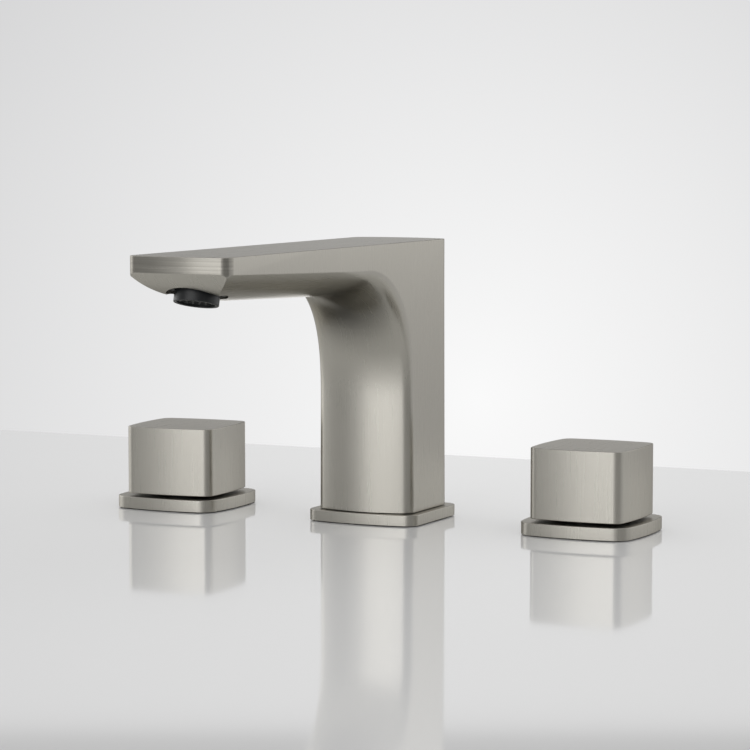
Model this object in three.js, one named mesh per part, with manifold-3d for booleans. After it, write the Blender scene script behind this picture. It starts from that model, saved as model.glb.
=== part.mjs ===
// Widespread basin faucet: a fixed centre spout between two quarter-turn valves with square knobs.
// Millimetres. X runs to the right, Y to the back and Z up, for a user who stands on the -Y side.
// The origin lies on top of the basin deck, under the middle of the spout's column.

import * as THREE from 'three';
import { mergeVertices } from 'three/addons/utils/BufferGeometryUtils.js';
import Module from 'manifold-3d';

const wasm = await Module();
wasm.setup();

// Driving dimensions of the whole faucet.
const handleSpacing = 203.2;
const deckThickness = 25;
const hotTurnDegrees = 4.4;
const coldTurnDegrees = 0;

// Play between pieces, and how far a cut runs past what it cuts.
const clearance = 0.3;
const ringClearance = 0.15;
const overrun = 1;

// Gaskets under the base plates: how far they hold the plate off the deck, and their rim's set-back.
const gasket = { proud: 0.4, thickness: 2, inset: 3 };

// Spout body: a flat slab of an arm with a bellied underside, swept down into a square column.
const spout = {
  top: 126,
  tipY: -186.5,
  tipBow: 110,
  tipCorner: 4.6,
  bandAtTip: 6.8,
  bellyDepth: 11.2,
  halfWidthTop: 22.8,
  halfWidthFoot: 23.25,
  frontY: -23.55,
  backY: 23.9,
  bow: 58,
  corner: 5.6,
  bandEdge: 0.5,
  sweepCorner: 3,
  underSlope: 0.034,
  sweepRadius: 38,
  blendLength: 30,
  wall: 4.5,
  footCavityHeight: 38,
  cavityCorner: 1.5,
  columnWaterway: 5,
  channelHalfWidth: 13,
  channelHeight: 10.5,
  tipWaterway: 3,
  tipWaterwayRoof: 3.5,
};

// Underside of the tip: a convex arc that starts at the band and runs out into a shallow straight line,
// turned about the centre of the tip's bow.
const hull = { radius: 28.8, startDegrees: 49.8, endDegrees: 7, run: 26, segments: 120, depth: 66 };

// Square base plate under the spout, with a raised land that the column stands on.
const spoutBase = {
  halfX: 26.73,
  halfY: 26.34,
  bow: 119,
  corner: 6.25,
  thickness: 4.9,
  land: 0.35,
  landMargin: 2,
};

// Threaded tube that holds the spout, and the nipple at its lower end.
const shank = {
  radius: 10.2,
  bore: 6,
  reach: 18.4,
  bottom: -60,
  endGap: 1.5,
  groove: { depth: 1.4, width: 2, below: 4 },
};
const nipple = {
  spigotLength: 10,
  hexFlats: 22,
  hexHeight: 5,
  radius: 5,
  length: 15,
  bore: 3.2,
  groove: { depth: 0.9, width: 1.8, above: 6 },
};

// Clamp below the deck: rubber washer, steel washer and nut.
const clamp = { rubberThickness: 3, steelThickness: 1.6, nutHeight: 8, steelInset: 1.5 };
const spoutClamp = { washerWidth: 9.5, nutFlats: 32 };
const valveClamp = { washerWidth: 8.7, nutFlats: 38 };

// Handles: the square base plate, the ring that holds it down, and the hollow square knob over them.
const handleBase = { half: 26.86, bow: 124, corner: 8, thickness: 5.5 };
const lockRing = { wall: 3.7, height: 4, notches: 4, notchWidth: 4, notchDepth: 1.6 };
const knob = {
  half: 22.7,
  bow: 130,
  corner: 4.6,
  height: 31,
  gap: 1.2,
  wall: 2.6,
  roof: 3.2,
  bossWall: 4.2,
  bossLength: 15.4,
  edge: 0.35,
  accessRadius: 2.6,
};
const adapter = { wall: 1.7, length: 14.6, topGap: 0.6 };
const setScrew = { radius: 2, length: 4, below: 10, socketFlats: 2, socketDepth: 2 };

// Valve body: a threaded neck through the deck, an inlet nipple below and an outlet to one side.
const valve = {
  waterGap: 1.6,
  neckWall: 3,
  neckTop: 12,
  neckBottom: -46,
  blockWall: 2.5,
  blockBottom: -68,
  seatDepth: 31.7,
  inletRadius: 10.45,
  inletBottom: -88,
  inletBore: 5,
  inletPassage: 3.4,
  outletRadius: 8.5,
  outletReach: 32,
  outletBore: 4.2,
  outletPassage: 1.7,
  threadEdge: 1,
};

// Quarter-turn ceramic cartridge inside the valve's chamber.
const cartridge = {
  discRadius: 6.6,
  skirtWall: 1.5,
  discThickness: 3,
  discGap: 0.1,
  portRadius: 4.6,
  portWidth: 2.6,
  portHalfDegrees: 40,
  sealBore: 5.2,
  sealThickness: 2.8,
  hexFlats: 19,
  hexHeight: 5,
  floor: 3.7,
  windowWidth: 5,
  windowHeight: 5,
  stemRadius: 4,
  stemAboveHex: 16,
  splineLength: 12,
  splineTeeth: 12,
  splineDepth: 0.45,
  driverThickness: 2.5,
  driverPlay: 0.4,
  keyWidth: 2.6,
  keyDepth: 1.4,
  groove: { depth: 1.4, width: 2, below: 4 },
};

// Aerator: a notched ring, a sleeve with a honeycomb, and the pieces stacked over it.
const aerator = {
  fromTip: 18.1,
  mouthRise: 1.2,
  tiltDegrees: 14,
  boreRadius: 12.4,
  chamberRadius: 8,
  chamberDepth: 2,
  proud: 2.8,
  sleeveRadius: 9.15,
  sleeveWall: 0.9,
  lipHeight: 0.5,
  lipWidth: 0.5,
  flangeHeight: 0.8,
  ringRecess: 2.2,
  ringHeight: 4.8,
  notches: 12,
  notchWidth: 2,
  notchDepth: 1.5,
  sealHeight: 1.8,
  sealWidth: 3.4,
};
const honeycomb = { height: 4, rings: 2, pitch: 2.9, cellFlats: 2.4 };
const regulator = { height: 2, holes: 6, holeRadius: 0.7, holeCircle: 5, pinRadius: 1.5, pinHeight: 1 };
const strainer = { rim: 1.1, rimHeight: 0.6, rise: 3, crownRadius: 2, skin: 0.6, slots: 6, slotWidth: 0.9 };

const roundSegments = 18;
const fineSegments = 24;
const smallSegments = 12;
const holeSteps = 6;
const ringSteps = 5;
const portSteps = 4;
const tipCornerSteps = 3;
const hullSteps = 8;
const fullTurn = Math.PI * 2;
const quarterTurn = Math.PI / 2;
const upright = new THREE.Matrix4();

// Radii that follow from the pieces inside: a post round the shank, a skirt round the discs, a chamber
// round the skirt, a neck round the chamber, and a boss round the adapter on the stem.
const postRadius = shank.radius + clearance + spout.wall;
const cavityRadius = cartridge.discRadius + clearance;
const skirtRadius = cavityRadius + cartridge.skirtWall;
const chamberRadius = skirtRadius + valve.waterGap;
const neckRadius = chamberRadius + valve.neckWall;
const blockRadius = neckRadius + valve.blockWall;
const stemHole = cartridge.stemRadius + clearance;
const adapterRadius = stemHole + adapter.wall;
const bossBore = adapterRadius + clearance;
const bossRadius = bossBore + knob.bossWall;

// Solids

function solidOf(geometry) {
  const bare = geometry.index ? geometry.toNonIndexed() : geometry.clone();
  bare.deleteAttribute('normal');
  bare.deleteAttribute('uv');
  const merged = mergeVertices(bare);
  const mesh = new wasm.Mesh({
    numProp: 3,
    vertProperties: new Float32Array(merged.attributes.position.array),
    triVerts: new Uint32Array(merged.index.array),
  });
  return new wasm.Manifold(mesh);
}

function geometryOf(solid) {
  const mesh = solid.getMesh();
  const geometry = new THREE.BufferGeometry();
  geometry.setAttribute('position', new THREE.BufferAttribute(mesh.vertProperties, 3));
  geometry.setIndex(new THREE.BufferAttribute(mesh.triVerts, 1));
  geometry.computeVertexNormals();
  return geometry;
}

// A profile of [radius, height] pairs, anticlockwise as seen with the axis on the left, turned about Z
// and then moved to its place.
function revolve(profile, segments = roundSegments, place = upright) {
  const points = profile.map(([radius, height]) => new THREE.Vector2(radius, height));
  const lathe = new THREE.LatheGeometry(points, segments);
  lathe.rotateX(quarterTurn);
  lathe.applyMatrix4(place);
  return solidOf(lathe);
}

function rod(radius, bottom, top, segments = roundSegments, place = upright) {
  return revolve([[0, bottom], [radius, bottom], [radius, top], [0, top]], segments, place);
}

function tube(inner, outer, bottom, top, segments = roundSegments, place = upright) {
  const profile = [[inner, bottom], [outer, bottom], [outer, top], [inner, top], [inner, bottom]];
  return revolve(profile, segments, place);
}

function prism(outline, bottom, top, place = upright) {
  const shape = new THREE.Shape(outline.map(([x, y]) => new THREE.Vector2(x, y)));
  const geometry = new THREE.ExtrudeGeometry(shape, { depth: top - bottom, bevelEnabled: false });
  geometry.translate(0, 0, bottom);
  geometry.applyMatrix4(place);
  return solidOf(geometry);
}

// A prism whose top and bottom rims are broken by a narrow chamfer.
function edgedPrism(outline, bottom, top, edge) {
  const shape = new THREE.Shape(outline.map(([x, y]) => new THREE.Vector2(x, y)));
  const depth = top - bottom - edge - edge;
  const bevel = { bevelThickness: edge, bevelSize: edge, bevelOffset: -edge, bevelSegments: 1 };
  const geometry = new THREE.ExtrudeGeometry(shape, { depth, ...bevel });
  geometry.translate(0, 0, bottom + edge);
  return solidOf(geometry);
}

function plateWithHoles(outline, holes, bottom, top) {
  const path = (points) => points.map(([x, y]) => new THREE.Vector2(x, y));
  const shape = new THREE.Shape(path(outline));
  shape.holes = holes.map((hole) => new THREE.Path(path(hole)));
  const geometry = new THREE.ExtrudeGeometry(shape, { depth: top - bottom, bevelEnabled: false });
  geometry.translate(0, 0, bottom);
  return solidOf(geometry);
}

// Matrices that lay a shape built along Z down along X or Y, at a height.
function alongX(height) {
  return new THREE.Matrix4().makeRotationY(quarterTurn).setPosition(0, 0, height);
}

function alongY(height) {
  return new THREE.Matrix4().makeRotationX(-quarterTurn).setPosition(0, 0, height);
}

function grooveFloor(outer, groove) {
  return outer - groove.depth;
}

// A tube with one groove in its outside for a rubber ring.
function groovedTube(inner, outer, bottom, top, groove, height, segments = roundSegments) {
  const low = height - groove.width / 2;
  const high = height + groove.width / 2;
  const floor = grooveFloor(outer, groove);
  const outside = [[outer, bottom], [outer, low], [floor, low], [floor, high], [outer, high], [outer, top]];
  return revolve([[inner, bottom], ...outside, [inner, top], [inner, bottom]], segments);
}

// The rubber ring in that groove, with a little play to the bore round the tube.
function grooveRing(outer, groove, height, segments = roundSegments) {
  const floor = grooveFloor(outer, groove);
  const wall = outer + clearance;
  const section = (wall - floor) / 2 - ringClearance;
  const profile = arc((wall + floor) / 2, height, section, 0, fullTurn, ringSteps);
  return revolve(profile, segments);
}

// Outlines

function arc(centreX, centreY, radius, from, to, steps) {
  const points = [];
  for (let i = 0; i <= steps; i += 1) {
    const angle = from + ((to - from) * i) / steps;
    points.push([centreX + radius * Math.cos(angle), centreY + radius * Math.sin(angle)]);
  }
  return points;
}

function circle(centreX, centreY, radius, steps) {
  return arc(centreX, centreY, radius, 0, fullTurn, steps).slice(0, steps);
}

function hexagonCorner(flats) {
  return flats / 2 / Math.cos(Math.PI / 6);
}

function hexagon(flats) {
  return circle(0, 0, hexagonCorner(flats), 6);
}

function rectangle(x0, x1, y0, y1) {
  return [[x0, y0], [x1, y0], [x1, y1], [x0, y1]];
}

function turned(outline, angle) {
  const cos = Math.cos(angle);
  const sin = Math.sin(angle);
  return outline.map(([x, y]) => [x * cos - y * sin, x * sin + y * cos]);
}

// A square with four bowed sides and round corners, anticlockwise.
function cushionOutline(half, bow, corner, bowSteps = 5, cornerSteps = 3) {
  const setBack = bow - half;
  const centre = (Math.sqrt(2 * (bow - corner) ** 2 - setBack ** 2) - setBack) / 2;
  const lean = Math.atan2(centre, centre + setBack);
  const side = [
    ...arc(-setBack, 0, bow, -lean, lean, bowSteps).slice(0, -1),
    ...arc(centre, centre, corner, lean, quarterTurn - lean, cornerSteps).slice(0, -1),
  ];
  const sides = [0, 1, 2, 3];
  return sides.flatMap((count) => turned(side, count * quarterTurn));
}

// The same square, set in evenly from its edge.
function cushionInset(square, inset) {
  return cushionOutline(square.half - inset, square.bow - inset, square.corner - inset);
}

// Half of a section with a bowed face that meets straight sides in round corners, from the right side
// to the left: [x, depth], where depth is measured inwards from the middle of the bowed face.
function bowedFace(halfWidth, bow, corner, bowSteps = 10, cornerSteps = 3) {
  const cornerX = halfWidth - corner;
  const cornerDepth = bow - Math.sqrt((bow - corner) ** 2 - cornerX ** 2);
  const lean = Math.asin(cornerX / (bow - corner));
  const right = arc(cornerX, cornerDepth, corner, 0, lean - quarterTurn, cornerSteps).slice(0, -1);
  const face = arc(0, bow, bow, lean - quarterTurn, -lean - quarterTurn, bowSteps);
  const left = right.map(([x, depth]) => [-x, depth]).reverse();
  return [...right, ...face, ...left];
}

// A plan with straight sides and a bowed front and back, anticlockwise.
function columnOutline(halfWidth, front, back, bow, corner, bowSteps = 6) {
  const face = bowedFace(halfWidth, bow, corner, bowSteps);
  const behind = face.map(([x, depth]) => [x, back - depth]);
  const ahead = face.map(([x, depth]) => [-x, front + depth]);
  return [...behind, ...ahead];
}

// Spout body

const spoutBaseTop = gasket.proud + spoutBase.thickness;
const spoutFoot = spoutBaseTop + spoutBase.land;
const shankTop = spoutFoot + shank.reach;
const underAngle = Math.atan(spout.underSlope);
const bellyAtTip = spout.top - spout.bandAtTip - spout.bellyDepth;
const blendShares = [0, 0.25, 0.5, 0.75];

// The column narrows evenly from its foot up to the level of the belly; the arm above has one width.
function halfWidthAt(height) {
  const share = THREE.MathUtils.clamp((height - spoutFoot) / (sweep.z + spout.sweepRadius - spoutFoot), 0, 1);
  return THREE.MathUtils.lerp(spout.halfWidthFoot, spout.halfWidthTop, share);
}

// The centre line of the underside: a gently falling line below the arm, a round sweep, and the front
// of the column. The sweep's centre is where a circle touches both lines.
const sweep = (() => {
  const y = spout.frontY - spout.sweepRadius;
  const lineAtCentre = bellyAtTip - spout.underSlope * (y - spout.tipY);
  const z = lineAtCentre - spout.sweepRadius / Math.cos(underAngle);
  return { y, z };
})();

function sweepPoint(angle) {
  const normal = { y: Math.sin(angle), z: Math.cos(angle) };
  return {
    y: sweep.y + spout.sweepRadius * normal.y,
    z: sweep.z + spout.sweepRadius * normal.z,
    normal,
  };
}

// How far a section has changed from the arm's belly to the column's face, from 0 to 1. Between the
// two, its corners swell to a softer round.
function blendAt(length) {
  const whole = spout.blendLength + spout.sweepRadius * (quarterTurn - underAngle);
  return THREE.MathUtils.smoothstep(length / whole, 0, 1);
}

function undersideRow(point, blend) {
  const halfWidth = halfWidthAt(point.z);
  const armBow = (spout.halfWidthTop ** 2 + spout.bellyDepth ** 2) / (2 * spout.bellyDepth);
  const bow = 1 / THREE.MathUtils.lerp(1 / armBow, 1 / spout.bow, blend);
  const swell = 4 * blend * (1 - blend) * spout.sweepCorner;
  const corner = THREE.MathUtils.lerp(spout.bandEdge, spout.corner, blend) + swell;
  return bowedFace(halfWidth, bow, corner).map(([x, depth]) => {
    const z = point.z + point.normal.z * depth;
    const x1 = (x / halfWidth) * halfWidthAt(z);
    return new THREE.Vector3(x1, point.y + point.normal.y * depth, z);
  });
}

function backRow(height, share, startY) {
  const face = bowedFace(halfWidthAt(height), spout.bow, spout.corner, 6);
  return face
    .map(([x, depth]) => {
      const y = THREE.MathUtils.lerp(startY, spout.backY - depth, share);
      return new THREE.Vector3(x, y, height);
    })
    .reverse();
}

function spoutRings() {
  const rings = [];
  const arcStart = sweepPoint(underAngle);
  const topOver = (point) => point.y + spout.underSlope * (spout.top - point.z);
  const startY = topOver(arcStart);

  const armStops = blendShares.map((share) => spout.blendLength * share);
  const armLength = arcStart.y - spout.tipY + spout.tipCorner + overrun;
  for (const length of [spout.blendLength - armLength, ...armStops]) {
    const back = spout.blendLength - length;
    const point = {
      y: arcStart.y - back * Math.cos(underAngle),
      z: arcStart.z + back * Math.sin(underAngle),
      normal: arcStart.normal,
    };
    const blend = blendAt(Math.max(length, 0));
    rings.push([...undersideRow(point, blend), ...backRow(spout.top, 0, topOver(point))]);
  }

  const edgeAngle = Math.atan2(spout.backY - sweep.y, spout.top - sweep.z);
  const fanSteps = 7;
  for (let i = 0; i <= fanSteps; i += 1) {
    const angle = THREE.MathUtils.lerp(underAngle, edgeAngle, i / fanSteps);
    const point = sweepPoint(angle);
    const radialY = sweep.y + Math.tan(angle) * (spout.top - sweep.z);
    const share = (radialY - startY) / (spout.backY - startY);
    const blend = blendAt(spout.blendLength + spout.sweepRadius * (angle - underAngle));
    rings.push([...undersideRow(point, blend), ...backRow(spout.top, share, startY)]);
  }

  const dropSteps = 4;
  for (let i = 1; i <= dropSteps; i += 1) {
    const angle = THREE.MathUtils.lerp(edgeAngle, quarterTurn, i / dropSteps);
    const point = sweepPoint(angle);
    const height = sweep.z + (spout.backY - sweep.y) / Math.tan(angle);
    const blend = blendAt(spout.blendLength + spout.sweepRadius * (angle - underAngle));
    rings.push([...undersideRow(point, blend), ...backRow(height, 1, startY)]);
  }

  const foot = { y: spout.frontY, z: spoutFoot, normal: { y: 1, z: 0 } };
  rings.push([...undersideRow(foot, 1), ...backRow(spoutFoot, 1, startY)]);
  return rings;
}

// Skin between rings of equal count, closed by a flat cap at each end.
function loft(rings) {
  const count = rings[0].length;
  const positions = rings.flat().flatMap((point) => [point.x, point.y, point.z]);
  const index = [];
  for (let r = 0; r < rings.length - 1; r += 1) {
    for (let i = 0; i < count; i += 1) {
      const a = r * count + i;
      const b = r * count + ((i + 1) % count);
      index.push(a, b, a + count, b, b + count, a + count);
    }
  }
  const firstCap = rings[0].map((point) => new THREE.Vector2(point.x, point.z));
  for (const [a, b, c] of THREE.ShapeUtils.triangulateShape(firstCap, [])) index.push(a, b, c);
  const lastCap = rings[rings.length - 1].map((point) => new THREE.Vector2(point.x, point.y));
  const base = (rings.length - 1) * count;
  for (const [a, b, c] of THREE.ShapeUtils.triangulateShape(lastCap, [])) {
    index.push(base + a, base + c, base + b);
  }
  const geometry = new THREE.BufferGeometry();
  geometry.setAttribute('position', new THREE.Float32BufferAttribute(positions, 3));
  geometry.setIndex(index);
  return solidOf(geometry);
}

// The arm's plan: tight corners round the tip, with a point ahead of its bow. Behind the corners the plan
// is wider than the arm.
function tipEnvelope() {
  const { halfWidthTop, tipY, tipBow, tipCorner } = spout;
  const cornerX = halfWidthTop - tipCorner;
  const lean = Math.asin(cornerX / (tipBow - tipCorner));
  const cornerY = tipY + tipBow - (tipBow - tipCorner) * Math.cos(lean);
  const right = arc(cornerX, cornerY, tipCorner, lean - quarterTurn, 0, tipCornerSteps);
  const left = right.map(([x, y]) => [-x, y]).reverse();
  const point = [0, tipY + tipBow - tipBow / Math.cos(lean)];
  const wide = spout.halfWidthFoot + overrun;
  const back = spout.backY + overrun;
  const outline = [point, ...right, [wide, back], [-wide, back], ...left];
  return prism(outline, spoutFoot - overrun, spout.top + overrun);
}

// What is cut away at the tip, turned about the centre of its bow: everything ahead of the upright band
// and below the hull under it.
function bowCutter() {
  const start = THREE.MathUtils.degToRad(hull.startDegrees);
  const end = THREE.MathUtils.degToRad(hull.endDegrees);
  const centreRadius = spout.tipBow - hull.radius * Math.sin(start);
  const centreHeight = spout.top - spout.bandAtTip + hull.radius * Math.cos(start);
  const from = start - quarterTurn;
  const to = end - quarterTurn;
  const curve = arc(centreRadius, centreHeight, hull.radius, from, to, hullSteps);
  const [endRadius, endHeight] = curve[curve.length - 1];
  const far = [endRadius - hull.run, endHeight - hull.run * Math.tan(end)];
  const low = far[1] - spout.bellyDepth;
  const high = spout.top + overrun;
  const outer = spout.tipBow + overrun + overrun;
  const ahead = [[far[0], low], [outer, low], [outer, high], [spout.tipBow, high]];
  const profile = [...ahead, ...curve, far, [far[0], low]];
  const place = new THREE.Matrix4().setPosition(0, spout.tipY + spout.tipBow, 0);
  const wide = spout.halfWidthFoot + overrun;
  const tipRegion = rectangle(-wide, wide, spout.tipY - overrun - overrun, spout.tipY + hull.depth);
  const around = prism(tipRegion, low - overrun, high + overrun);
  return revolve(profile, hull.segments, place).intersect(around);
}

const tilt = THREE.MathUtils.degToRad(aerator.tiltDegrees);
const aeratorMouth = new THREE.Vector3(0, spout.tipY + aerator.fromTip, bellyAtTip + aerator.mouthRise);
const aeratorPlace = new THREE.Matrix4().makeRotationX(-tilt).setPosition(aeratorMouth);
const flangeBottom = aerator.ringRecess + aerator.ringHeight + clearance;
const sealBottom = flangeBottom + aerator.flangeHeight + clearance;
const aeratorDepth = sealBottom + aerator.sealHeight + clearance;

// The cast hollows that the water takes: up from the shank into the column, forward along the arm, and
// through a narrower bore over the aerator.
function spoutWaterways() {
  const hollowTop = spout.top - spout.wall;
  const hollowBottom = spoutFoot + spout.footCavityHeight + spout.wall;
  const boreBack = aeratorMouth.y + aeratorDepth * Math.sin(tilt) + aerator.boreRadius * Math.cos(tilt);
  const channelFront = boreBack + spout.wall;
  const channel = rectangle(-spout.channelHalfWidth, spout.channelHalfWidth, channelFront, 0);
  const tipHeight = spout.top - spout.tipWaterwayRoof - spout.tipWaterway;
  const tipEnd = channelFront + overrun;
  const chamberTop = aeratorDepth + aerator.chamberDepth;
  return [
    rod(shank.radius + clearance, spoutFoot - overrun, shankTop + shank.endGap),
    rod(spout.columnWaterway, shankTop, hollowBottom + overrun, smallSegments),
    prism(columnInset(), hollowBottom, hollowTop),
    prism(channel, hollowTop - spout.channelHeight, hollowTop),
    rod(spout.tipWaterway, aeratorMouth.y, tipEnd, smallSegments, alongY(tipHeight)),
    rod(aerator.chamberRadius, aeratorDepth - overrun, chamberTop, fineSegments, aeratorPlace),
    rod(aerator.boreRadius, -aerator.boreRadius, aeratorDepth, fineSegments, aeratorPlace),
  ];
}

function columnInset() {
  const front = spout.frontY + spout.wall;
  const back = spout.backY - spout.wall;
  return columnOutline(spout.halfWidthTop - spout.wall, front, back, spout.bow, spout.cavityCorner);
}

// The foot is hollow from below, round a post that holds the shank.
function footCavity() {
  const bottom = spoutFoot - overrun;
  const top = spoutFoot + spout.footCavityHeight;
  return prism(columnInset(), bottom, top).subtract(rod(postRadius, bottom - overrun, top + overrun));
}

function spoutBody() {
  let body = loft(spoutRings()).intersect(tipEnvelope()).subtract(bowCutter()).subtract(footCavity());
  for (const bore of spoutWaterways()) body = body.subtract(bore);
  return body;
}

// Base plates and gaskets

function spoutPlateOutline(inset) {
  const { halfX, halfY, bow, corner } = spoutBase;
  return columnOutline(halfX - inset, inset - halfY, halfY - inset, bow - inset, corner - inset);
}

// A base plate with a hole for its tube and a recess below for its gasket.
function basePlate(outlineAt, thickness, hole) {
  const top = gasket.proud + thickness;
  const recess = prism(outlineAt(gasket.inset), gasket.proud - overrun, gasket.thickness);
  return prism(outlineAt(0), gasket.proud, top)
    .subtract(recess)
    .subtract(rod(hole, gasket.proud - overrun, top + overrun));
}

function spoutEscutcheon() {
  const hole = shank.radius + clearance + clearance;
  const land = tube(hole, postRadius + spoutBase.landMargin, spoutBaseTop - overrun, spoutFoot);
  return basePlate(spoutPlateOutline, spoutBase.thickness, hole).add(land);
}

function gasketSolid(outlineAt, tubeRadius) {
  const outline = outlineAt(gasket.inset + clearance);
  const hole = rod(tubeRadius + clearance, -overrun, gasket.thickness + overrun);
  return prism(outline, 0, gasket.thickness).subtract(hole);
}

// Threaded tubes, nuts and washers

function hexHead(flats, bore, bottom, top, segments = roundSegments) {
  return prism(hexagon(flats), bottom, top).subtract(rod(bore, bottom - overrun, top + overrun, segments));
}

// A hexagonal nut with its corners turned off at both faces.
function hexNut(flats, bore, bottom, top) {
  const across = flats / 2;
  const corner = hexagonCorner(flats);
  const drop = (corner - across) / 2;
  const lower = [[0, bottom], [across, bottom], [corner, bottom + drop]];
  const upper = [[corner, top - drop], [across, top], [0, top]];
  return hexHead(flats, bore, bottom, top).intersect(revolve([...lower, ...upper]));
}

const shankGrooveHeight = shankTop - shank.groove.below;

function spoutShank() {
  return groovedTube(shank.bore, shank.radius, shank.bottom, shankTop, shank.groove, shankGrooveHeight);
}

const nippleHexBottom = shank.bottom - nipple.hexHeight;
const nippleEnd = nippleHexBottom - nipple.length;
const nippleGrooveHeight = nippleEnd + nipple.groove.above;

function spoutInletNipple() {
  const spigotTop = shank.bottom + nipple.spigotLength;
  const tailTop = nippleHexBottom + overrun;
  const { bore, radius, groove, hexFlats } = nipple;
  const spigot = tube(bore, shank.bore - clearance, nippleHexBottom, spigotTop, smallSegments);
  return hexHead(hexFlats, bore, nippleHexBottom, shank.bottom, smallSegments)
    .add(spigot)
    .add(groovedTube(bore, radius, nippleEnd, tailTop, groove, nippleGrooveHeight, smallSegments));
}

// The three pieces below the deck that clamp a threaded tube of this radius.
function clampPieces(tubeRadius, sizes) {
  const rubberTop = -deckThickness;
  const steelTop = rubberTop - clamp.rubberThickness;
  const nutTop = steelTop - clamp.steelThickness;
  const bore = tubeRadius + clearance;
  return {
    rubber_washer: tube(bore, bore + sizes.washerWidth, steelTop, rubberTop),
    steel_washer: tube(bore, bore + sizes.washerWidth - clamp.steelInset, nutTop, steelTop),
    mounting_nut: hexNut(sizes.nutFlats, bore, nutTop - clamp.nutHeight, nutTop),
  };
}

// Aerator, built upwards from the mouth of its bore and then tilted with it

function aeratorHousing() {
  const inner = aerator.sleeveRadius + clearance;
  const outer = aerator.boreRadius - clearance;
  const top = aerator.ringRecess + aerator.ringHeight;
  let housing = tube(inner, outer, aerator.ringRecess, top, fineSegments);
  const half = aerator.notchWidth / 2;
  const notch = rectangle(inner - overrun, outer + overrun, -half, half);
  for (let i = 0; i < aerator.notches; i += 1) {
    const outline = turned(notch, (i / aerator.notches) * fullTurn);
    const notchTop = aerator.ringRecess + aerator.notchDepth;
    housing = housing.subtract(prism(outline, aerator.ringRecess - overrun, notchTop));
  }
  return housing;
}

const sleeveInner = aerator.sleeveRadius - aerator.sleeveWall;
const insertRadius = sleeveInner - clearance;

function aeratorInsert() {
  const { sleeveRadius, proud, lipHeight, lipWidth, flangeHeight } = aerator;
  const flangeTop = flangeBottom + flangeHeight;
  const flangeRadius = aerator.boreRadius - clearance - clearance;
  return revolve(
    [
      [sleeveInner - lipWidth, -proud],
      [sleeveRadius, -proud],
      [sleeveRadius, flangeBottom],
      [flangeRadius, flangeBottom],
      [flangeRadius, flangeTop],
      [sleeveInner, flangeTop],
      [sleeveInner, lipHeight - proud],
      [sleeveInner - lipWidth, lipHeight - proud],
      [sleeveInner - lipWidth, -proud],
    ],
    fineSegments,
  );
}

const honeycombBottom = aerator.lipHeight - aerator.proud + clearance;
const regulatorBottom = honeycombBottom + honeycomb.height + clearance;
const strainerBottom = regulatorBottom + regulator.height + clearance;

// Hexagonal cells in rings round a middle one.
function aeratorHoneycomb() {
  const cells = [];
  const { rings, pitch, cellFlats, height } = honeycomb;
  const rowRise = pitch * Math.cos(Math.PI / 6);
  for (let row = -rings; row <= rings; row += 1) {
    const count = 2 * rings + 1 - Math.abs(row);
    for (let i = 0; i < count; i += 1) {
      const x = (i - (count - 1) / 2) * pitch;
      const cell = turned(hexagon(cellFlats), quarterTurn);
      cells.push(cell.map(([dx, dy]) => [x + dx, row * rowRise + dy]));
    }
  }
  const outline = circle(0, 0, insertRadius, roundSegments);
  return plateWithHoles(outline, cells, honeycombBottom, honeycombBottom + height);
}

function aeratorRegulator() {
  const { height, holes, holeRadius, holeCircle, pinRadius, pinHeight } = regulator;
  const openings = circle(0, 0, holeCircle, holes).map(([x, y]) => circle(x, y, holeRadius, holeSteps));
  const top = regulatorBottom + height;
  const disc = plateWithHoles(circle(0, 0, insertRadius, roundSegments), openings, regulatorBottom, top);
  return disc.add(rod(pinRadius, top - pinHeight, top + pinHeight, smallSegments));
}

// A slotted screen that rises from a flat rim to a small flat crown.
function aeratorStrainer() {
  const { rim, rimHeight, rise, crownRadius, skin, slots, slotWidth } = strainer;
  const foot = insertRadius - rim;
  const rimTop = strainerBottom + rimHeight;
  const crown = rimTop + rise;
  const shell = revolve(
    [
      [foot - skin, strainerBottom],
      [insertRadius, strainerBottom],
      [insertRadius, rimTop],
      [foot, rimTop],
      [crownRadius, crown],
      [0, crown],
      [0, crown - skin],
      [crownRadius - skin, crown - skin],
      [foot - skin, rimTop - skin],
      [foot - skin, strainerBottom],
    ],
  );
  const half = slotWidth / 2;
  const slot = rectangle(crownRadius + half, foot - slotWidth, -half, half);
  let screen = shell;
  for (let i = 0; i < slots; i += 1) {
    const outline = turned(slot, ((i + 0.5) / slots) * fullTurn);
    screen = screen.subtract(prism(outline, strainerBottom - overrun, crown + overrun));
  }
  return screen;
}

function aeratorSeal() {
  const outer = aerator.boreRadius - clearance - clearance;
  return tube(outer - aerator.sealWidth, outer, sealBottom, sealBottom + aerator.sealHeight);
}

// Valve

const seat = valve.neckTop - valve.seatDepth;
const outletHeight = (valve.neckBottom + valve.blockBottom) / 2;

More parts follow.
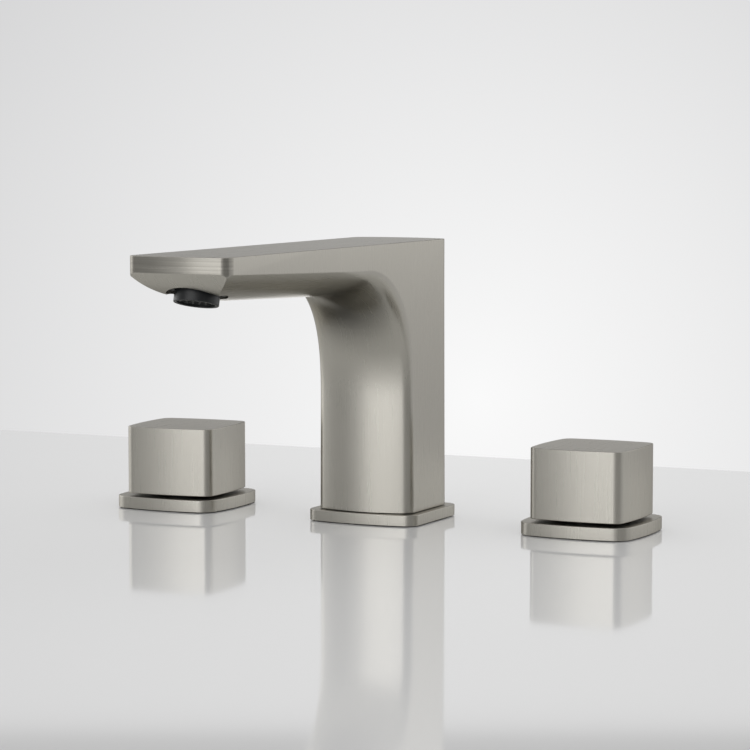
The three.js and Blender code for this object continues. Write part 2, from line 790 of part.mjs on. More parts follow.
function valveBody() {
  const { inletRadius, neckTop, neckBottom, blockBottom, inletBottom } = valve;
  const edge = valve.threadEdge;
  const outside = revolve([
    [0, inletBottom],
    [inletRadius - edge, inletBottom],
    [inletRadius, inletBottom + edge],
    [inletRadius, blockBottom],
    [blockRadius, blockBottom],
    [blockRadius, neckBottom],
    [neckRadius, neckBottom],
    [neckRadius, neckTop],
    [0, neckTop],
  ]);
  const sideNipple = revolve(
    [
      [0, 0],
      [valve.outletRadius, 0],
      [valve.outletRadius, valve.outletReach - edge],
      [valve.outletRadius - edge, valve.outletReach],
      [0, valve.outletReach],
    ],
    roundSegments,
    alongX(outletHeight),
  );
  const passageX = (skirtRadius + chamberRadius) / 2;
  const passagePlace = new THREE.Matrix4().setPosition(passageX, 0, 0);
  const outletStart = passageX - valve.outletPassage - overrun;
  const outletEnd = valve.outletReach + overrun;
  return outside
    .add(sideNipple)
    .subtract(rod(chamberRadius, seat, neckTop + overrun))
    .subtract(rod(valve.inletPassage, blockBottom, seat + overrun, smallSegments))
    .subtract(rod(valve.inletBore, inletBottom - overrun, blockBottom, smallSegments))
    .subtract(rod(valve.outletPassage, outletHeight, seat + overrun, smallSegments, passagePlace))
    .subtract(rod(valve.outletBore, outletStart, outletEnd, smallSegments, alongX(outletHeight)));
}

function lockRingSolid(bottom) {
  const inner = neckRadius + clearance;
  const outer = inner + lockRing.wall;
  const top = bottom + lockRing.height;
  let solid = tube(inner, outer, bottom, top);
  const half = lockRing.notchWidth / 2;
  const notch = rectangle(outer - lockRing.notchDepth, outer + overrun, -half, half);
  for (let i = 0; i < lockRing.notches; i += 1) {
    const outline = turned(notch, (i / lockRing.notches) * fullTurn);
    solid = solid.subtract(prism(outline, bottom - overrun, top + overrun));
  }
  return solid;
}

// Cartridge, from the seal on the chamber's floor up to the stem

const fixedDiscBottom = seat + cartridge.sealThickness;
const movingDiscBottom = fixedDiscBottom + cartridge.discThickness + cartridge.discGap;
const movingDiscTop = movingDiscBottom + cartridge.discThickness;
const driverBottom = movingDiscTop + clearance;
const driverTop = driverBottom + cartridge.driverThickness;
const cavityTop = driverTop + clearance;
const hexTop = valve.neckTop + cartridge.hexHeight;
const stemTop = hexTop + cartridge.stemAboveHex;
const cartridgeGrooveHeight = valve.neckTop - cartridge.groove.below;

// Two ports, each a sector of a ring: open on the left and right of a disc.
function portOutlines() {
  const inner = cartridge.portRadius - cartridge.portWidth;
  const reach = THREE.MathUtils.degToRad(cartridge.portHalfDegrees);
  const port = [
    ...arc(0, 0, cartridge.portRadius, -reach, reach, portSteps),
    ...arc(0, 0, inner, reach, -reach, portSteps),
  ];
  return [port, turned(port, Math.PI)];
}

function ceramicDisc(bottom) {
  const outline = circle(0, 0, cartridge.discRadius, roundSegments);
  return plateWithHoles(outline, portOutlines(), bottom, bottom + cartridge.discThickness);
}

function keyOutline(play) {
  const half = cartridge.keyWidth / 2 + play;
  const reach = cartridge.discRadius - cartridge.driverPlay;
  return rectangle(-half, half, -reach - play, reach + play);
}

// The upper disc has a slot across its top for the driver's key.
function movingDisc() {
  const slotBottom = movingDiscTop - cartridge.keyDepth;
  const slotPlay = clearance;
  const slot = prism(keyOutline(slotPlay), slotBottom - clearance, movingDiscTop + overrun);
  return ceramicDisc(movingDiscBottom).subtract(slot);
}

function cartridgeSeal() {
  return tube(cartridge.sealBore, cartridge.discRadius, seat, fixedDiscBottom);
}

function splineOutline() {
  const points = [];
  for (let i = 0; i < cartridge.splineTeeth; i += 1) {
    const step = fullTurn / cartridge.splineTeeth;
    const root = cartridge.stemRadius - cartridge.splineDepth;
    points.push([cartridge.stemRadius * Math.cos(i * step), cartridge.stemRadius * Math.sin(i * step)]);
    points.push([root * Math.cos((i + 0.5) * step), root * Math.sin((i + 0.5) * step)]);
  }
  return points;
}

function cartridgeStem() {
  const splineBottom = stemTop - cartridge.splineLength;
  const flange = cartridge.discRadius - cartridge.driverPlay;
  const keyBottom = driverBottom - cartridge.keyDepth;
  const keyTop = driverBottom + overrun;
  const key = prism(keyOutline(0), keyBottom, keyTop).intersect(rod(flange, keyBottom, keyTop));
  return rod(flange, driverBottom, driverTop)
    .add(key)
    .add(rod(cartridge.stemRadius, driverTop - overrun, splineBottom))
    .add(prism(splineOutline(), splineBottom - overrun, stemTop));
}

function cartridgeBody() {
  const { hexFlats, floor, windowWidth, windowHeight, groove } = cartridge;
  const sleeve = chamberRadius - clearance;
  const sleeveBottom = cavityTop + floor;
  const skirt = tube(cavityRadius, skirtRadius, seat + clearance, sleeveBottom + overrun);
  const window = rectangle(-skirtRadius - overrun, skirtRadius + overrun, -windowWidth / 2, windowWidth / 2);
  const roof = tube(stemHole, cavityRadius + overrun, cavityTop, sleeveBottom + overrun);
  return groovedTube(stemHole, sleeve, sleeveBottom, valve.neckTop + overrun, groove, cartridgeGrooveHeight)
    .add(hexHead(hexFlats, stemHole, valve.neckTop, hexTop))
    .add(skirt)
    .add(roof)
    .subtract(prism(window, driverTop - windowHeight, driverTop));
}

// Knob and what fastens it to the stem

const plateTop = gasket.proud + handleBase.thickness;
const knobBottom = plateTop + knob.gap;
const knobTop = knobBottom + knob.height;
const roofBottom = knobTop - knob.roof;
const adapterTop = roofBottom - adapter.topGap;
const screwHeight = roofBottom - setScrew.below;
const screwStart = bossBore;

function knobSolid() {
  const bossBottom = roofBottom - knob.bossLength;
  const screwHole = setScrew.radius + clearance;
  const rear = knob.half + overrun;
  return edgedPrism(cushionInset(knob, 0), knobBottom, knobTop, knob.edge)
    .subtract(prism(cushionInset(knob, knob.wall), knobBottom - overrun, roofBottom))
    .add(rod(bossRadius, bossBottom, roofBottom + overrun))
    .subtract(rod(bossBore, bossBottom - overrun, adapterTop + clearance))
    .subtract(rod(screwHole, 0, bossRadius + overrun, smallSegments, alongY(screwHeight)))
    .subtract(rod(knob.accessRadius, bossRadius + overrun, rear, smallSegments, alongY(screwHeight)));
}

function stemAdapter() {
  return tube(stemHole, adapterRadius, adapterTop - adapter.length, adapterTop);
}

function setScrewSolid() {
  const place = alongY(screwHeight);
  const end = screwStart + setScrew.length;
  const socket = prism(hexagon(setScrew.socketFlats), end - setScrew.socketDepth, end + overrun, place);
  return rod(setScrew.radius, screwStart, end, smallSegments, place).subtract(socket);
}

// Finishes and assembly

const finishes = {
  nickel: { color: '#b6b1a8', roughness: 0.3, metalness: 1 },
  brass: { color: '#b8954f', roughness: 0.35, metalness: 1 },
  steel: { color: '#a7a9ab', roughness: 0.3, metalness: 1 },
  rubber: { color: '#1b1b1c', roughness: 0.85, metalness: 0 },
  blackPlastic: { color: '#17181a', roughness: 0.5, metalness: 0 },
  whitePlastic: { color: '#e2e0da', roughness: 0.45, metalness: 0 },
  ceramic: { color: '#eceeec', roughness: 0.2, metalness: 0 },
};

function addPiece(parent, name, solid, finish) {
  const mesh = new THREE.Mesh(geometryOf(solid), new THREE.MeshStandardMaterial(finishes[finish]));
  mesh.name = name;
  parent.add(mesh);
}

function addClamp(parent, prefix, pieces, nutFinish) {
  addPiece(parent, `${prefix}_rubber_washer`, pieces.rubber_washer, 'rubber');
  addPiece(parent, `${prefix}_steel_washer`, pieces.steel_washer, 'steel');
  addPiece(parent, `${prefix}_mounting_nut`, pieces.mounting_nut, nutFinish);
}

function spoutAssembly() {
  const group = new THREE.Group();
  addPiece(group, 'spout_body', spoutBody(), 'nickel');
  addPiece(group, 'spout_escutcheon', spoutEscutcheon(), 'nickel');
  addPiece(group, 'spout_gasket', gasketSolid(spoutPlateOutline, shank.radius + clearance), 'rubber');
  addPiece(group, 'spout_shank', spoutShank(), 'brass');
  addPiece(group, 'spout_shank_oring', grooveRing(shank.radius, shank.groove, shankGrooveHeight), 'rubber');
  addClamp(group, 'spout', clampPieces(shank.radius, spoutClamp), 'brass');
  addPiece(group, 'spout_inlet_nipple', spoutInletNipple(), 'brass');
  const inletRing = grooveRing(nipple.radius, nipple.groove, nippleGrooveHeight, smallSegments);
  addPiece(group, 'spout_inlet_oring', inletRing, 'rubber');

  const outlet = new THREE.Group();
  outlet.position.copy(aeratorMouth);
  outlet.rotation.x = -tilt;
  addPiece(outlet, 'aerator_housing', aeratorHousing(), 'blackPlastic');
  addPiece(outlet, 'aerator_insert', aeratorInsert(), 'blackPlastic');
  addPiece(outlet, 'aerator_honeycomb', aeratorHoneycomb(), 'blackPlastic');
  addPiece(outlet, 'aerator_regulator', aeratorRegulator(), 'whitePlastic');
  addPiece(outlet, 'aerator_strainer', aeratorStrainer(), 'steel');
  addPiece(outlet, 'aerator_seal', aeratorSeal(), 'rubber');
  group.add(outlet);
  return group;
}

// One handle and its valve. The side outlet faces the spout, and the turned group follows the handle.
function handleAssembly(prefix, x, outletTurn, handleTurnDegrees) {
  const fixed = new THREE.Group();
  fixed.position.x = x;
  fixed.rotation.z = outletTurn;
  addPiece(fixed, `${prefix}_valve_body`, valveBody(), 'brass');
  addClamp(fixed, prefix, clampPieces(neckRadius, valveClamp), 'brass');
  addPiece(fixed, `${prefix}_lock_ring`, lockRingSolid(plateTop), 'blackPlastic');
  addPiece(fixed, `${prefix}_cartridge_body`, cartridgeBody(), 'brass');
  const oring = grooveRing(chamberRadius - clearance, cartridge.groove, cartridgeGrooveHeight);
  addPiece(fixed, `${prefix}_cartridge_oring`, oring, 'rubber');
  addPiece(fixed, `${prefix}_cartridge_seal`, cartridgeSeal(), 'rubber');
  addPiece(fixed, `${prefix}_fixed_disc`, ceramicDisc(fixedDiscBottom), 'ceramic');

  const outlineAt = (inset) => cushionInset(handleBase, inset);
  const hole = neckRadius + clearance + clearance;
  addPiece(fixed, `${prefix}_escutcheon`, basePlate(outlineAt, handleBase.thickness, hole), 'nickel');
  addPiece(fixed, `${prefix}_gasket`, gasketSolid(outlineAt, neckRadius + clearance), 'rubber');

  const moving = new THREE.Group();
  moving.position.x = x;
  moving.rotation.z = THREE.MathUtils.degToRad(handleTurnDegrees);
  addPiece(moving, `${prefix}_handle`, knobSolid(), 'nickel');
  addPiece(moving, `${prefix}_set_screw`, setScrewSolid(), 'steel');
  addPiece(moving, `${prefix}_stem_adapter`, stemAdapter(), 'whitePlastic');
  addPiece(moving, `${prefix}_cartridge_stem`, cartridgeStem(), 'brass');
  addPiece(moving, `${prefix}_moving_disc`, movingDisc(), 'ceramic');
  return [fixed, moving];
}

const faucet = new THREE.Group();
faucet.add(spoutAssembly());
faucet.add(...handleAssembly('hot', -handleSpacing / 2, 0, hotTurnDegrees));
faucet.add(...handleAssembly('cold', handleSpacing / 2, Math.PI, coldTurnDegrees));

export default faucet;
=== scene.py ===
from math import asin, atan, atan2, cos, hypot, inf, pi, radians, sin, sqrt, tan

import bmesh
import bpy
from mathutils import Matrix, Vector


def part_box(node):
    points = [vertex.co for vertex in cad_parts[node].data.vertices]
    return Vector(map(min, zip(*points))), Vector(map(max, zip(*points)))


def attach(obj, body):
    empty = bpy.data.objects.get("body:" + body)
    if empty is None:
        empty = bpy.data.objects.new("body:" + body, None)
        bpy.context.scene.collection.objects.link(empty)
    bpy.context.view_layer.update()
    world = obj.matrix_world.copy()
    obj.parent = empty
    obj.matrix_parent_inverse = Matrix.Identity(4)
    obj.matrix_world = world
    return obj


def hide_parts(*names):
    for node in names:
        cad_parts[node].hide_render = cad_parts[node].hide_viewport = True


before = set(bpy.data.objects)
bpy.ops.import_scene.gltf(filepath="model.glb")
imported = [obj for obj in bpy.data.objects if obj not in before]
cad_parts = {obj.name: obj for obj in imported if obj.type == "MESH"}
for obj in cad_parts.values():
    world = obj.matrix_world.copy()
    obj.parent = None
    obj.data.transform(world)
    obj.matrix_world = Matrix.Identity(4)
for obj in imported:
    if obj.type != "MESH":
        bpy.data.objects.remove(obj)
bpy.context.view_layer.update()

# Spout body. One brass casting, plated and brushed: a flat arm with a bellied underside that sweeps down
# into a square column. Its skin is lofted along the underside; the tip is cut by a turned hull, and the
# waterways are bored from below.

MM = 0.001
SMOOTH_LIMIT = radians(32)
LARGE_FACES_FLAT = 100
QUARTER = pi / 2


def millimetres(value):
    return value / MM


def box_of(node):
    low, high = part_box(node)
    return [millimetres(c) for c in low], [millimetres(c) for c in high]


def lerp(start, end, share):
    return start + (end - start) * share


def smoothstep(share):
    share = min(max(share, 0), 1)
    return share * share * (3 - 2 * share)


spout_low, spout_high = box_of("spout_body")
spout_top = spout_high[2]
spout_foot = spout_low[2]
tip_y = spout_low[1]
back_y = spout_high[1]
half_foot = spout_high[0]

half_top = 22.8
column_front = -23.55
column_bow = 58
column_corner = 5.6
tip_bow = 110
tip_corner = 4.6
band_at_tip = 6.8
band_edge = 0.5
belly_depth = 11.2
under_slope = 0.034
sweep_corner = 5
sweep_radius = 38
onset_half = 12
onset_fade = 22
blend_length = 30
hull_radius = 28.8
hull_start = radians(49.8)
hull_end = radians(7)
rim_round = 0.35
band_round = 0.3
crease_round = 0.2

corner_steps = 10
bow_steps = 18
rim_steps = 3
SMALL_STEPS = 48
ROUND_STEPS = 96
LARGE_STEPS = 128

under_angle = atan(under_slope)
belly_at_tip = spout_top - band_at_tip - belly_depth
belly_bow = (half_top ** 2 + belly_depth ** 2) / (2 * belly_depth)
sweep_y = column_front - sweep_radius
sweep_z = belly_at_tip - under_slope * (sweep_y - tip_y) - sweep_radius / cos(under_angle)


def face_depth(x, half, bow, corner):
    """How far a bowed face with round corners lies behind its middle, at a distance x from the middle."""
    corner_x = half - corner
    if abs(x) <= corner_x * bow / (bow - corner):
        return bow - sqrt(bow ** 2 - x ** 2)
    corner_depth = bow - sqrt((bow - corner) ** 2 - corner_x ** 2)
    return corner_depth - sqrt(max(corner ** 2 - (abs(x) - corner_x) ** 2, 0))


def face_points(half, bow, corner, inset=0.0):
    """[x, depth] along a bowed face from its right side to its left, set in evenly by inset."""
    corner_x = half - corner
    corner_depth = bow - sqrt((bow - corner) ** 2 - corner_x ** 2)
    lean = asin(corner_x / (bow - corner))
    points = []
    for i in range(corner_steps):
        angle = (QUARTER - lean) * i / corner_steps
        reach = corner - inset
        points.append((corner_x + reach * cos(angle), corner_depth - reach * sin(angle)))
    for i in range(bow_steps):
        angle = lean * (1 - i / bow_steps)
        reach = bow - inset
        points.append((reach * sin(angle), bow - reach * cos(angle)))
    return points + [(0.0, inset)] + [(-x, depth) for x, depth in reversed(points)]


def tip_outline(inset=0.0):
    return face_points(half_top, tip_bow, tip_corner, inset)


tip_face = tip_outline()
tip_face_inset = tip_outline(rim_round)
column_face = face_points(half_foot, column_bow, column_corner)
middle = len(tip_face) // 2


def half_width_at(height):
    share = (height - spout_foot) / (sweep_z + sweep_radius - spout_foot)
    return lerp(half_foot, half_top, min(max(share, 0), 1))


def onset(z):
    """How far the front stands forward of the bare arc, so that the arc starts without a visible edge."""
    share = (z - sweep_z) / onset_half
    scale = onset_half ** 2 / sweep_radius
    if share <= -1:
        return 0
    if share < 1:
        return scale * ((1 + share) ** 3 / 12 - max(share, 0) ** 2 / 2)
    return scale / 6 * (1 - smoothstep((z - sweep_z - onset_half) / onset_fade))


def underside_row(y, z, angle, blend):
    """One row of the underside through (y, z), square to the sweep's radius at this angle."""
    y -= onset(z)
    half = half_width_at(z)
    bow = 1 / lerp(1 / belly_bow, 1 / column_bow, blend)
    corner = lerp(band_edge, column_corner, blend) + 4 * blend * (1 - blend) * sweep_corner
    row = []
    for (tip_x, _), (column_x, _) in zip(tip_face, column_face):
        share = lerp(tip_x / half_top, column_x / half_foot, blend)
        depth = face_depth(share * half, half, bow, corner)
        height = z + cos(angle) * depth
        row.append(Vector((share * half_width_at(height), y + sin(angle) * depth, height)))
    return row


def upper_row(height, share, start_y, inset=0.0):
    """A row of the top, or of the back where share is 1, from the right side to the left."""
    half = half_width_at(height)
    back = face_points(half, column_bow, column_corner, inset)
    row = []
    for (tip_x, _), (back_x, depth) in zip(tip_face_inset, back):
        row.append(Vector((lerp(tip_x, back_x, share), lerp(start_y, back_y - depth, share), height)))
    return row


def rim_point(side, y, step):
    """A point on the rounding between a side wall and the top: step 0 is on the wall."""
    angle = QUARTER * step / rim_steps
    x = half_top - rim_round * (1 - cos(angle))
    return Vector((side * x, y, spout_top - rim_round * (1 - sin(angle))))


def closed_ring(under, upper, last_rim_step):
    """Underside, left rim, top and right rim. Rim steps that have run out stay at the top's end."""
    left, right = (
        [rim_point(side, end.y, step) if step < last_rim_step else end.copy() for step in range(rim_steps)]
        for side, end in ((-1, upper[-1]), (1, upper[0])))
    return under + left + upper[::-1] + right[::-1]


def blend_at(length):
    whole = blend_length + sweep_radius * (QUARTER - under_angle)
    return smoothstep(length / whole)


def sweep_rings():
    """Rings from where the belly starts to change, round the sweep, to the foot."""
    rings = []
    arc_y = sweep_y + sweep_radius * sin(under_angle)
    arc_z = sweep_z + sweep_radius * cos(under_angle)
    start_y = arc_y + under_slope * (spout_top - arc_z)
    straight_steps, fan_steps, drop_steps = 10, 44, 14
    for i in range(straight_steps):
        back = blend_length * (1 - i / straight_steps)
        y = arc_y - back * cos(under_angle)
        z = arc_z + back * sin(under_angle)
        under = underside_row(y, z, under_angle, blend_at(blend_length - back))
        upper = upper_row(spout_top, 0, y + under_slope * (spout_top - z))
        rings.append(closed_ring(under, upper, rim_steps))
    edge_angle = atan2(back_y - rim_round - sweep_y, spout_top - sweep_z)
    for i in range(fan_steps + 1):
        angle = lerp(under_angle, edge_angle, i / fan_steps)
        under = fan_row(angle)
        radial_y = sweep_y + tan(angle) * (spout_top - sweep_z)
        share = (radial_y - start_y) / (back_y - rim_round - start_y)
        rings.append(closed_ring(under, upper_row(spout_top, share, start_y, rim_round), rim_steps))
    rim_angle = atan2(back_y - sweep_y, spout_top - rim_round - sweep_z)
    for step in range(1, rim_steps + 1):
        turn = QUARTER * step / rim_steps
        under = fan_row(lerp(edge_angle, rim_angle, step / rim_steps))
        inset = rim_round * (1 - sin(turn))
        height = spout_top - rim_round * (1 - cos(turn))
        rings.append(closed_ring(under, upper_row(height, 1, start_y, inset), rim_steps - step))
    for i in range(1, drop_steps + 1):
        angle = lerp(rim_angle, QUARTER, i / drop_steps)
        height = sweep_z + (back_y - sweep_y) / tan(angle)
        rings.append(closed_ring(fan_row(angle), upper_row(height, 1, start_y), 0))
    onset_steps = 8
    heights = [sweep_z - onset_half * i / onset_steps for i in range(1, onset_steps + 1)] + [spout_foot]
    for height in heights:
        under = underside_row(column_front, height, QUARTER, 1)
        rings.append(closed_ring(under, upper_row(height, 1, start_y), 0))
    return rings


def fan_row(angle):
    y = sweep_y + sweep_radius * sin(angle)
    z = sweep_z + sweep_radius * cos(angle)
    return underside_row(y, z, angle, blend_at(blend_length + sweep_radius * (angle - under_angle)))


hull_centre = tip_bow - hull_radius * sin(hull_start)
hull_height = spout_top - band_at_tip + hull_radius * cos(hull_start)
run_start = hull_centre + hull_radius * sin(hull_end)


def hull_z(x, y):
    """Height of the turned hull under the tip, above a point of the plan."""
    radius = hypot(x, y - tip_y - tip_bow)
    if radius < run_start:
        return hull_height - hull_radius * cos(hull_end) - (run_start - radius) * tan(hull_end)
    return hull_height - sqrt(hull_radius ** 2 - (radius - hull_centre) ** 2)


def belly_z(x, y):
    depth = face_depth(x, half_top, belly_bow, band_edge) / cos(under_angle)
    return belly_at_tip - under_slope * (y - tip_y) + depth


HALVINGS = 40


def crease_y(x, front, back):
    """Where the hull meets the belly on the line at x, or front if the belly reaches the band there."""
    if hull_z(x, front) <= belly_z(x, front):
        return front
    low, high = front, back
    for _ in range(HALVINGS):
        half_way = (low + high) / 2
        if hull_z(x, half_way) > belly_z(x, half_way):
            low = half_way
        else:
            high = half_way
    return low


def tip_rings(first):
    """Rings forward from the given ring to the tip: the belly up to its crease, then the hull."""
    belly_steps, hull_steps = 12, 34
    last = len(tip_face) - 1
    reach = [tip_y + depth for _, depth in tip_face]
    crease = [crease_y(x, reach[k], first[middle].y) for k, (x, _) in enumerate(tip_face)]
    creased = [crease[k] > reach[k] for k in range(last + 1)]
    edge = []
    for k in range(last + 1):
        inset = band_round * min(min(k, last - k) / creased.index(True), 1)
        x, depth = tip_outline(inset)[k]
        edge.append((x, tip_y + depth))
    rows = []
    for step in range(1, belly_steps + 1):
        share = step / belly_steps
        row = []
        for k, (x, _) in enumerate(tip_face):
            y = lerp(first[k].y, max(crease[k] + crease_round, edge[k][1]), share)
            x = x if creased[k] else lerp(x, edge[k][0], share)
            row.append(Vector((x, y, belly_z(x, y))))
        rows.append(row)
    for step in range(hull_steps + 1):
        share = step / hull_steps
        row = []
        for k, (x, _) in enumerate(tip_face):
            start = max(crease[k] - crease_round, edge[k][1])
            x, y = lerp(x, edge[k][0], share), lerp(start, edge[k][1], share)
            hull = Vector((x, y, max(hull_z(x, y), belly_z(x, y))))
            row.append(hull if creased[k] else rows[belly_steps - 1][k].copy())
        rows.append(row)
    start_y = first[-rim_steps - 1].y
    rings = []
    for number, row in enumerate(rows, 1):
        share = number / len(rows)
        upper = [Vector((x, lerp(start_y, tip_y + depth, share), spout_top)) for x, depth in tip_face_inset]
        rings.append(closed_ring(row, upper, rim_steps))
    return rings


def tip_cap(ring):
    """Rows from the last row of the underside up the band to the top."""
    count = len(tip_face)
    rows = []
    edge = [Vector((x, tip_y + depth, 0)) for x, depth in tip_face]
    for k, point in enumerate(edge):
        point.z = max(hull_z(point.x, point.y), belly_z(point.x, point.y))
        if k in (0, count - 1):
            point.z = ring[k].z
    for step in range(1, rim_steps + 1):
        share = step / rim_steps
        row = []
        for k, point in enumerate(edge):
            gap = (Vector((ring[k].x, ring[k].y, 0)) - Vector((point.x, point.y, 0))).length
            above = point + Vector((0, 0, gap))
            row.append(ring[k].lerp(point, share).lerp(point.lerp(above, share), share))
        rows.append(row)
    for step in range(rim_steps):
        turn = QUARTER * step / rim_steps
        inset = rim_round * (1 - cos(turn))
        height = spout_top - rim_round * (1 - sin(turn))
        rows.append([Vector((x, tip_y + depth, height)) for x, depth in tip_outline(inset)])
    return rows


def add_rows(mesh, rows, closed=True, joined=False):
    """Quads between successive rows, which may be closed. If joined, the last row meets the first."""
    grid = [[mesh.verts.new(point * MM) for point in row] for row in rows]
    for lower, upper in zip(grid, grid[1:] + grid[:joined]):
        for k in range(len(lower) if closed else len(lower) - 1):
            after = (k + 1) % len(lower)
            mesh.faces.new((lower[k], lower[after], upper[after], upper[k]))
    return grid


MERGE = 0.004 * MM


def clean(mesh):
    """Welds doubles, drops faces without area and turns every face outwards."""
    bmesh.ops.remove_doubles(mesh, verts=mesh.verts, dist=MERGE)
    bmesh.ops.dissolve_degenerate(mesh, edges=mesh.edges, dist=MERGE)
    bmesh.ops.recalc_face_normals(mesh, faces=mesh.faces)


def in_scene(name, data):
    """Adds an object with this data, at the origin."""
    made = bpy.data.objects.new(name, data)
    bpy.context.scene.collection.objects.link(made)
    return made


def object_from(mesh, name):
    """Cleans a mesh and makes an object of it."""
    clean(mesh)
    data = bpy.data.meshes.new(name)
    mesh.to_mesh(data)
    mesh.free()
    return in_scene(name, data)


def applied(piece):
    """Bakes a piece's modifiers into its mesh."""
    bpy.context.view_layer.update()
    graph = bpy.context.evaluated_depsgraph_get()
    data = bpy.data.meshes.new_from_object(piece.evaluated_get(graph), depsgraph=graph)
    piece.modifiers.clear()
    piece.data = data
    data.name = piece.name
    return piece


def combined(operation, piece, others):
    for other in others:
        boolean = piece.modifiers.new("combined", "BOOLEAN")
        boolean.operation = operation
        boolean.solver = "EXACT"
        boolean.object = other
        applied(piece)
        bpy.data.objects.remove(other)
    mesh = bmesh.new()
    mesh.from_mesh(piece.data)
    clean(mesh)
    mesh.to_mesh(piece.data)
    mesh.free()
    return piece


def cut(piece, *cutters):
    """Takes closed cutters away from a piece, one after the other."""
    return combined("DIFFERENCE", piece, cutters)


def stands_for(piece, material, node, body="faucet"):
    """Gives a piece its finish and smooth shading, in which edges stay crisp and large faces flat, and puts
    it in a CAD node's place."""
    for face in piece.data.polygons:
        face.use_smooth = True
    piece.data.set_sharp_from_angle(angle=SMOOTH_LIMIT)
    weighted = piece.modifiers.new("weighted", "WEIGHTED_NORMAL")
    weighted.keep_sharp = True
    weighted.weight = LARGE_FACES_FLAT
    applied(piece)
    piece.data.materials.clear()
    piece.data.materials.append(material)
    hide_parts(node)
    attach(piece, body)


def add_turned(mesh, profile, place, steps, closed):
    """Turns a [radius, height] profile about its axis, which is then moved to its place."""
    rows = []
    for i in range(steps):
        angle = 2 * pi * i / steps
        rows.append([place @ Vector((r * cos(angle), r * sin(angle), z)) for r, z in profile])
    add_rows(mesh, rows, closed, True)


def turned(profile, name, place=Matrix(), steps=ROUND_STEPS):
    mesh = bmesh.new()
    add_turned(mesh, profile, place, steps, True)
    return object_from(mesh, name)


def rod(radius, bottom, top, place=Matrix(), steps=ROUND_STEPS):
    return turned([(0, bottom), (radius, bottom), (radius, top), (0, top)], "rod", place, steps)


def prism(outline, bottom, top):
    """A flat outline of (x, y) points, drawn out upwards."""
    mesh = bmesh.new()
    for end in add_rows(mesh, [[Vector((x, y, z)) for x, y in outline] for z in (bottom, top)]):
        mesh.faces.new(end)
    return object_from(mesh, "prism")


spout_wall = 4.5
overrun = 1.0
clearance = 0.3
shank_radius = millimetres(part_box("spout_shank")[1].x)
shank_top = millimetres(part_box("spout_shank")[1].z)
shank_end_gap = 1.5
foot_cavity_height = 38
hollow_corner = 1.5
mouth_back = 18.1
mouth_rise = 1.2
tilt = radians(14)
mouth = Vector((0, tip_y + mouth_back, belly_at_tip + mouth_rise))
aerator_place = Matrix.Translation(mouth) @ Matrix.Rotation(-tilt, 4, "X")
bore_radius = 12.4
bore_depth = 10.5
chamber_radius = 8
chamber_depth = 2


def hollow_plan():
    """The column's plan one wall further in, with straight sides and a bowed front and back."""
    front, back = column_front + spout_wall, back_y - spout_wall
    face = face_points(half_top - spout_wall, column_bow, hollow_corner)
    return [(x, back - depth) for x, depth in face] + [(-x, front + depth) for x, depth in face]


def lying(height, y=0.0):
    """Lays a shape that stands on Z along Y."""
    return Matrix.Translation((0, y, height)) @ Matrix.Rotation(-QUARTER, 4, "X")


def spout_cutters():
    """The foot's cavity, the shank's socket, the waterways and the aerator's bore."""
    post = shank_radius + clearance + spout_wall
    foot_top = spout_foot + foot_cavity_height
    cavity = prism(hollow_plan(), spout_foot - overrun, foot_top)
    cut(cavity, rod(post, -overrun, foot_top + overrun))
    hollow_top = spout_top - spout_wall
    hollow_bottom = foot_top + spout_wall
    channel_front = mouth.y + bore_depth * sin(tilt) + bore_radius * cos(tilt) + spout_wall
    channel_half, channel_height = 13, 10.5
    channel = [(-channel_half, channel_front), (channel_half, channel_front), (channel_half, 0),
               (-channel_half, 0)]
    waterway, tip_waterway, tip_roof = 5, 3, 3.5
    tip_height = spout_top - tip_roof - tip_waterway
    return [
        cavity,
        rod(shank_radius + clearance, spout_foot - overrun, shank_top + shank_end_gap),
        rod(waterway, shank_top, hollow_bottom + overrun, steps=SMALL_STEPS),
        prism(hollow_plan(), hollow_bottom, hollow_top),
        prism(channel, hollow_top - channel_height, hollow_top),
        rod(tip_waterway, 0, channel_front + overrun - mouth.y, lying(tip_height, mouth.y), SMALL_STEPS),
        rod(chamber_radius, bore_depth - overrun, bore_depth + chamber_depth, aerator_place),
        rod(bore_radius, -bore_radius, bore_depth, aerator_place, LARGE_STEPS),
    ]


def spout_skin():
    """The outside in one closed shell, with a flat foot and the band rounded into the top."""
    mesh = bmesh.new()
    rings = sweep_rings()
    forward = tip_rings(rings[0])
    grid = add_rows(mesh, forward[::-1] + rings)
    mesh.faces.new(grid[-1])
    tip = forward[-1]
    top_row = tip[len(tip_face) + rim_steps:-rim_steps][::-1]
    add_rows(mesh, [tip[:len(tip_face)]] + tip_cap(tip) + [top_row], False)
    bmesh.ops.remove_doubles(mesh, verts=mesh.verts, dist=MERGE)
    bmesh.ops.holes_fill(mesh, edges=[edge for edge in mesh.edges if edge.is_boundary], sides=8)
    return object_from(mesh, "spout_body_skin")


def linear(hex_colour):
    """An sRGB colour written as hex, as linear RGBA."""
    channels = [int(hex_colour[i:i + 2], 16) / 255 for i in (1, 3, 5)]
    return [c / 12.92 if c <= 0.04045 else ((c + 0.055) / 1.055) ** 2.4 for c in channels] + [1.0]


def add_node(tree, kind, inputs=None, **settings):
    """Adds a node: settings are its own properties, inputs are values, or sockets or nodes that feed it."""
    made = tree.nodes.new(kind)
    for name, value in settings.items():
        setattr(made, name, value)
    for key, value in (inputs or {}).items():
        if isinstance(value, bpy.types.Node):
            value = next(output for output in value.outputs if output.enabled)
        if isinstance(value, bpy.types.NodeSocket):
            tree.links.new(value, made.inputs[key])
        else:
            made.inputs[key].default_value = value
    return made


def new_material(name):
    material = bpy.data.materials.new(name)
    material.use_nodes = True
    material.node_tree.nodes.clear()
    return material, material.node_tree


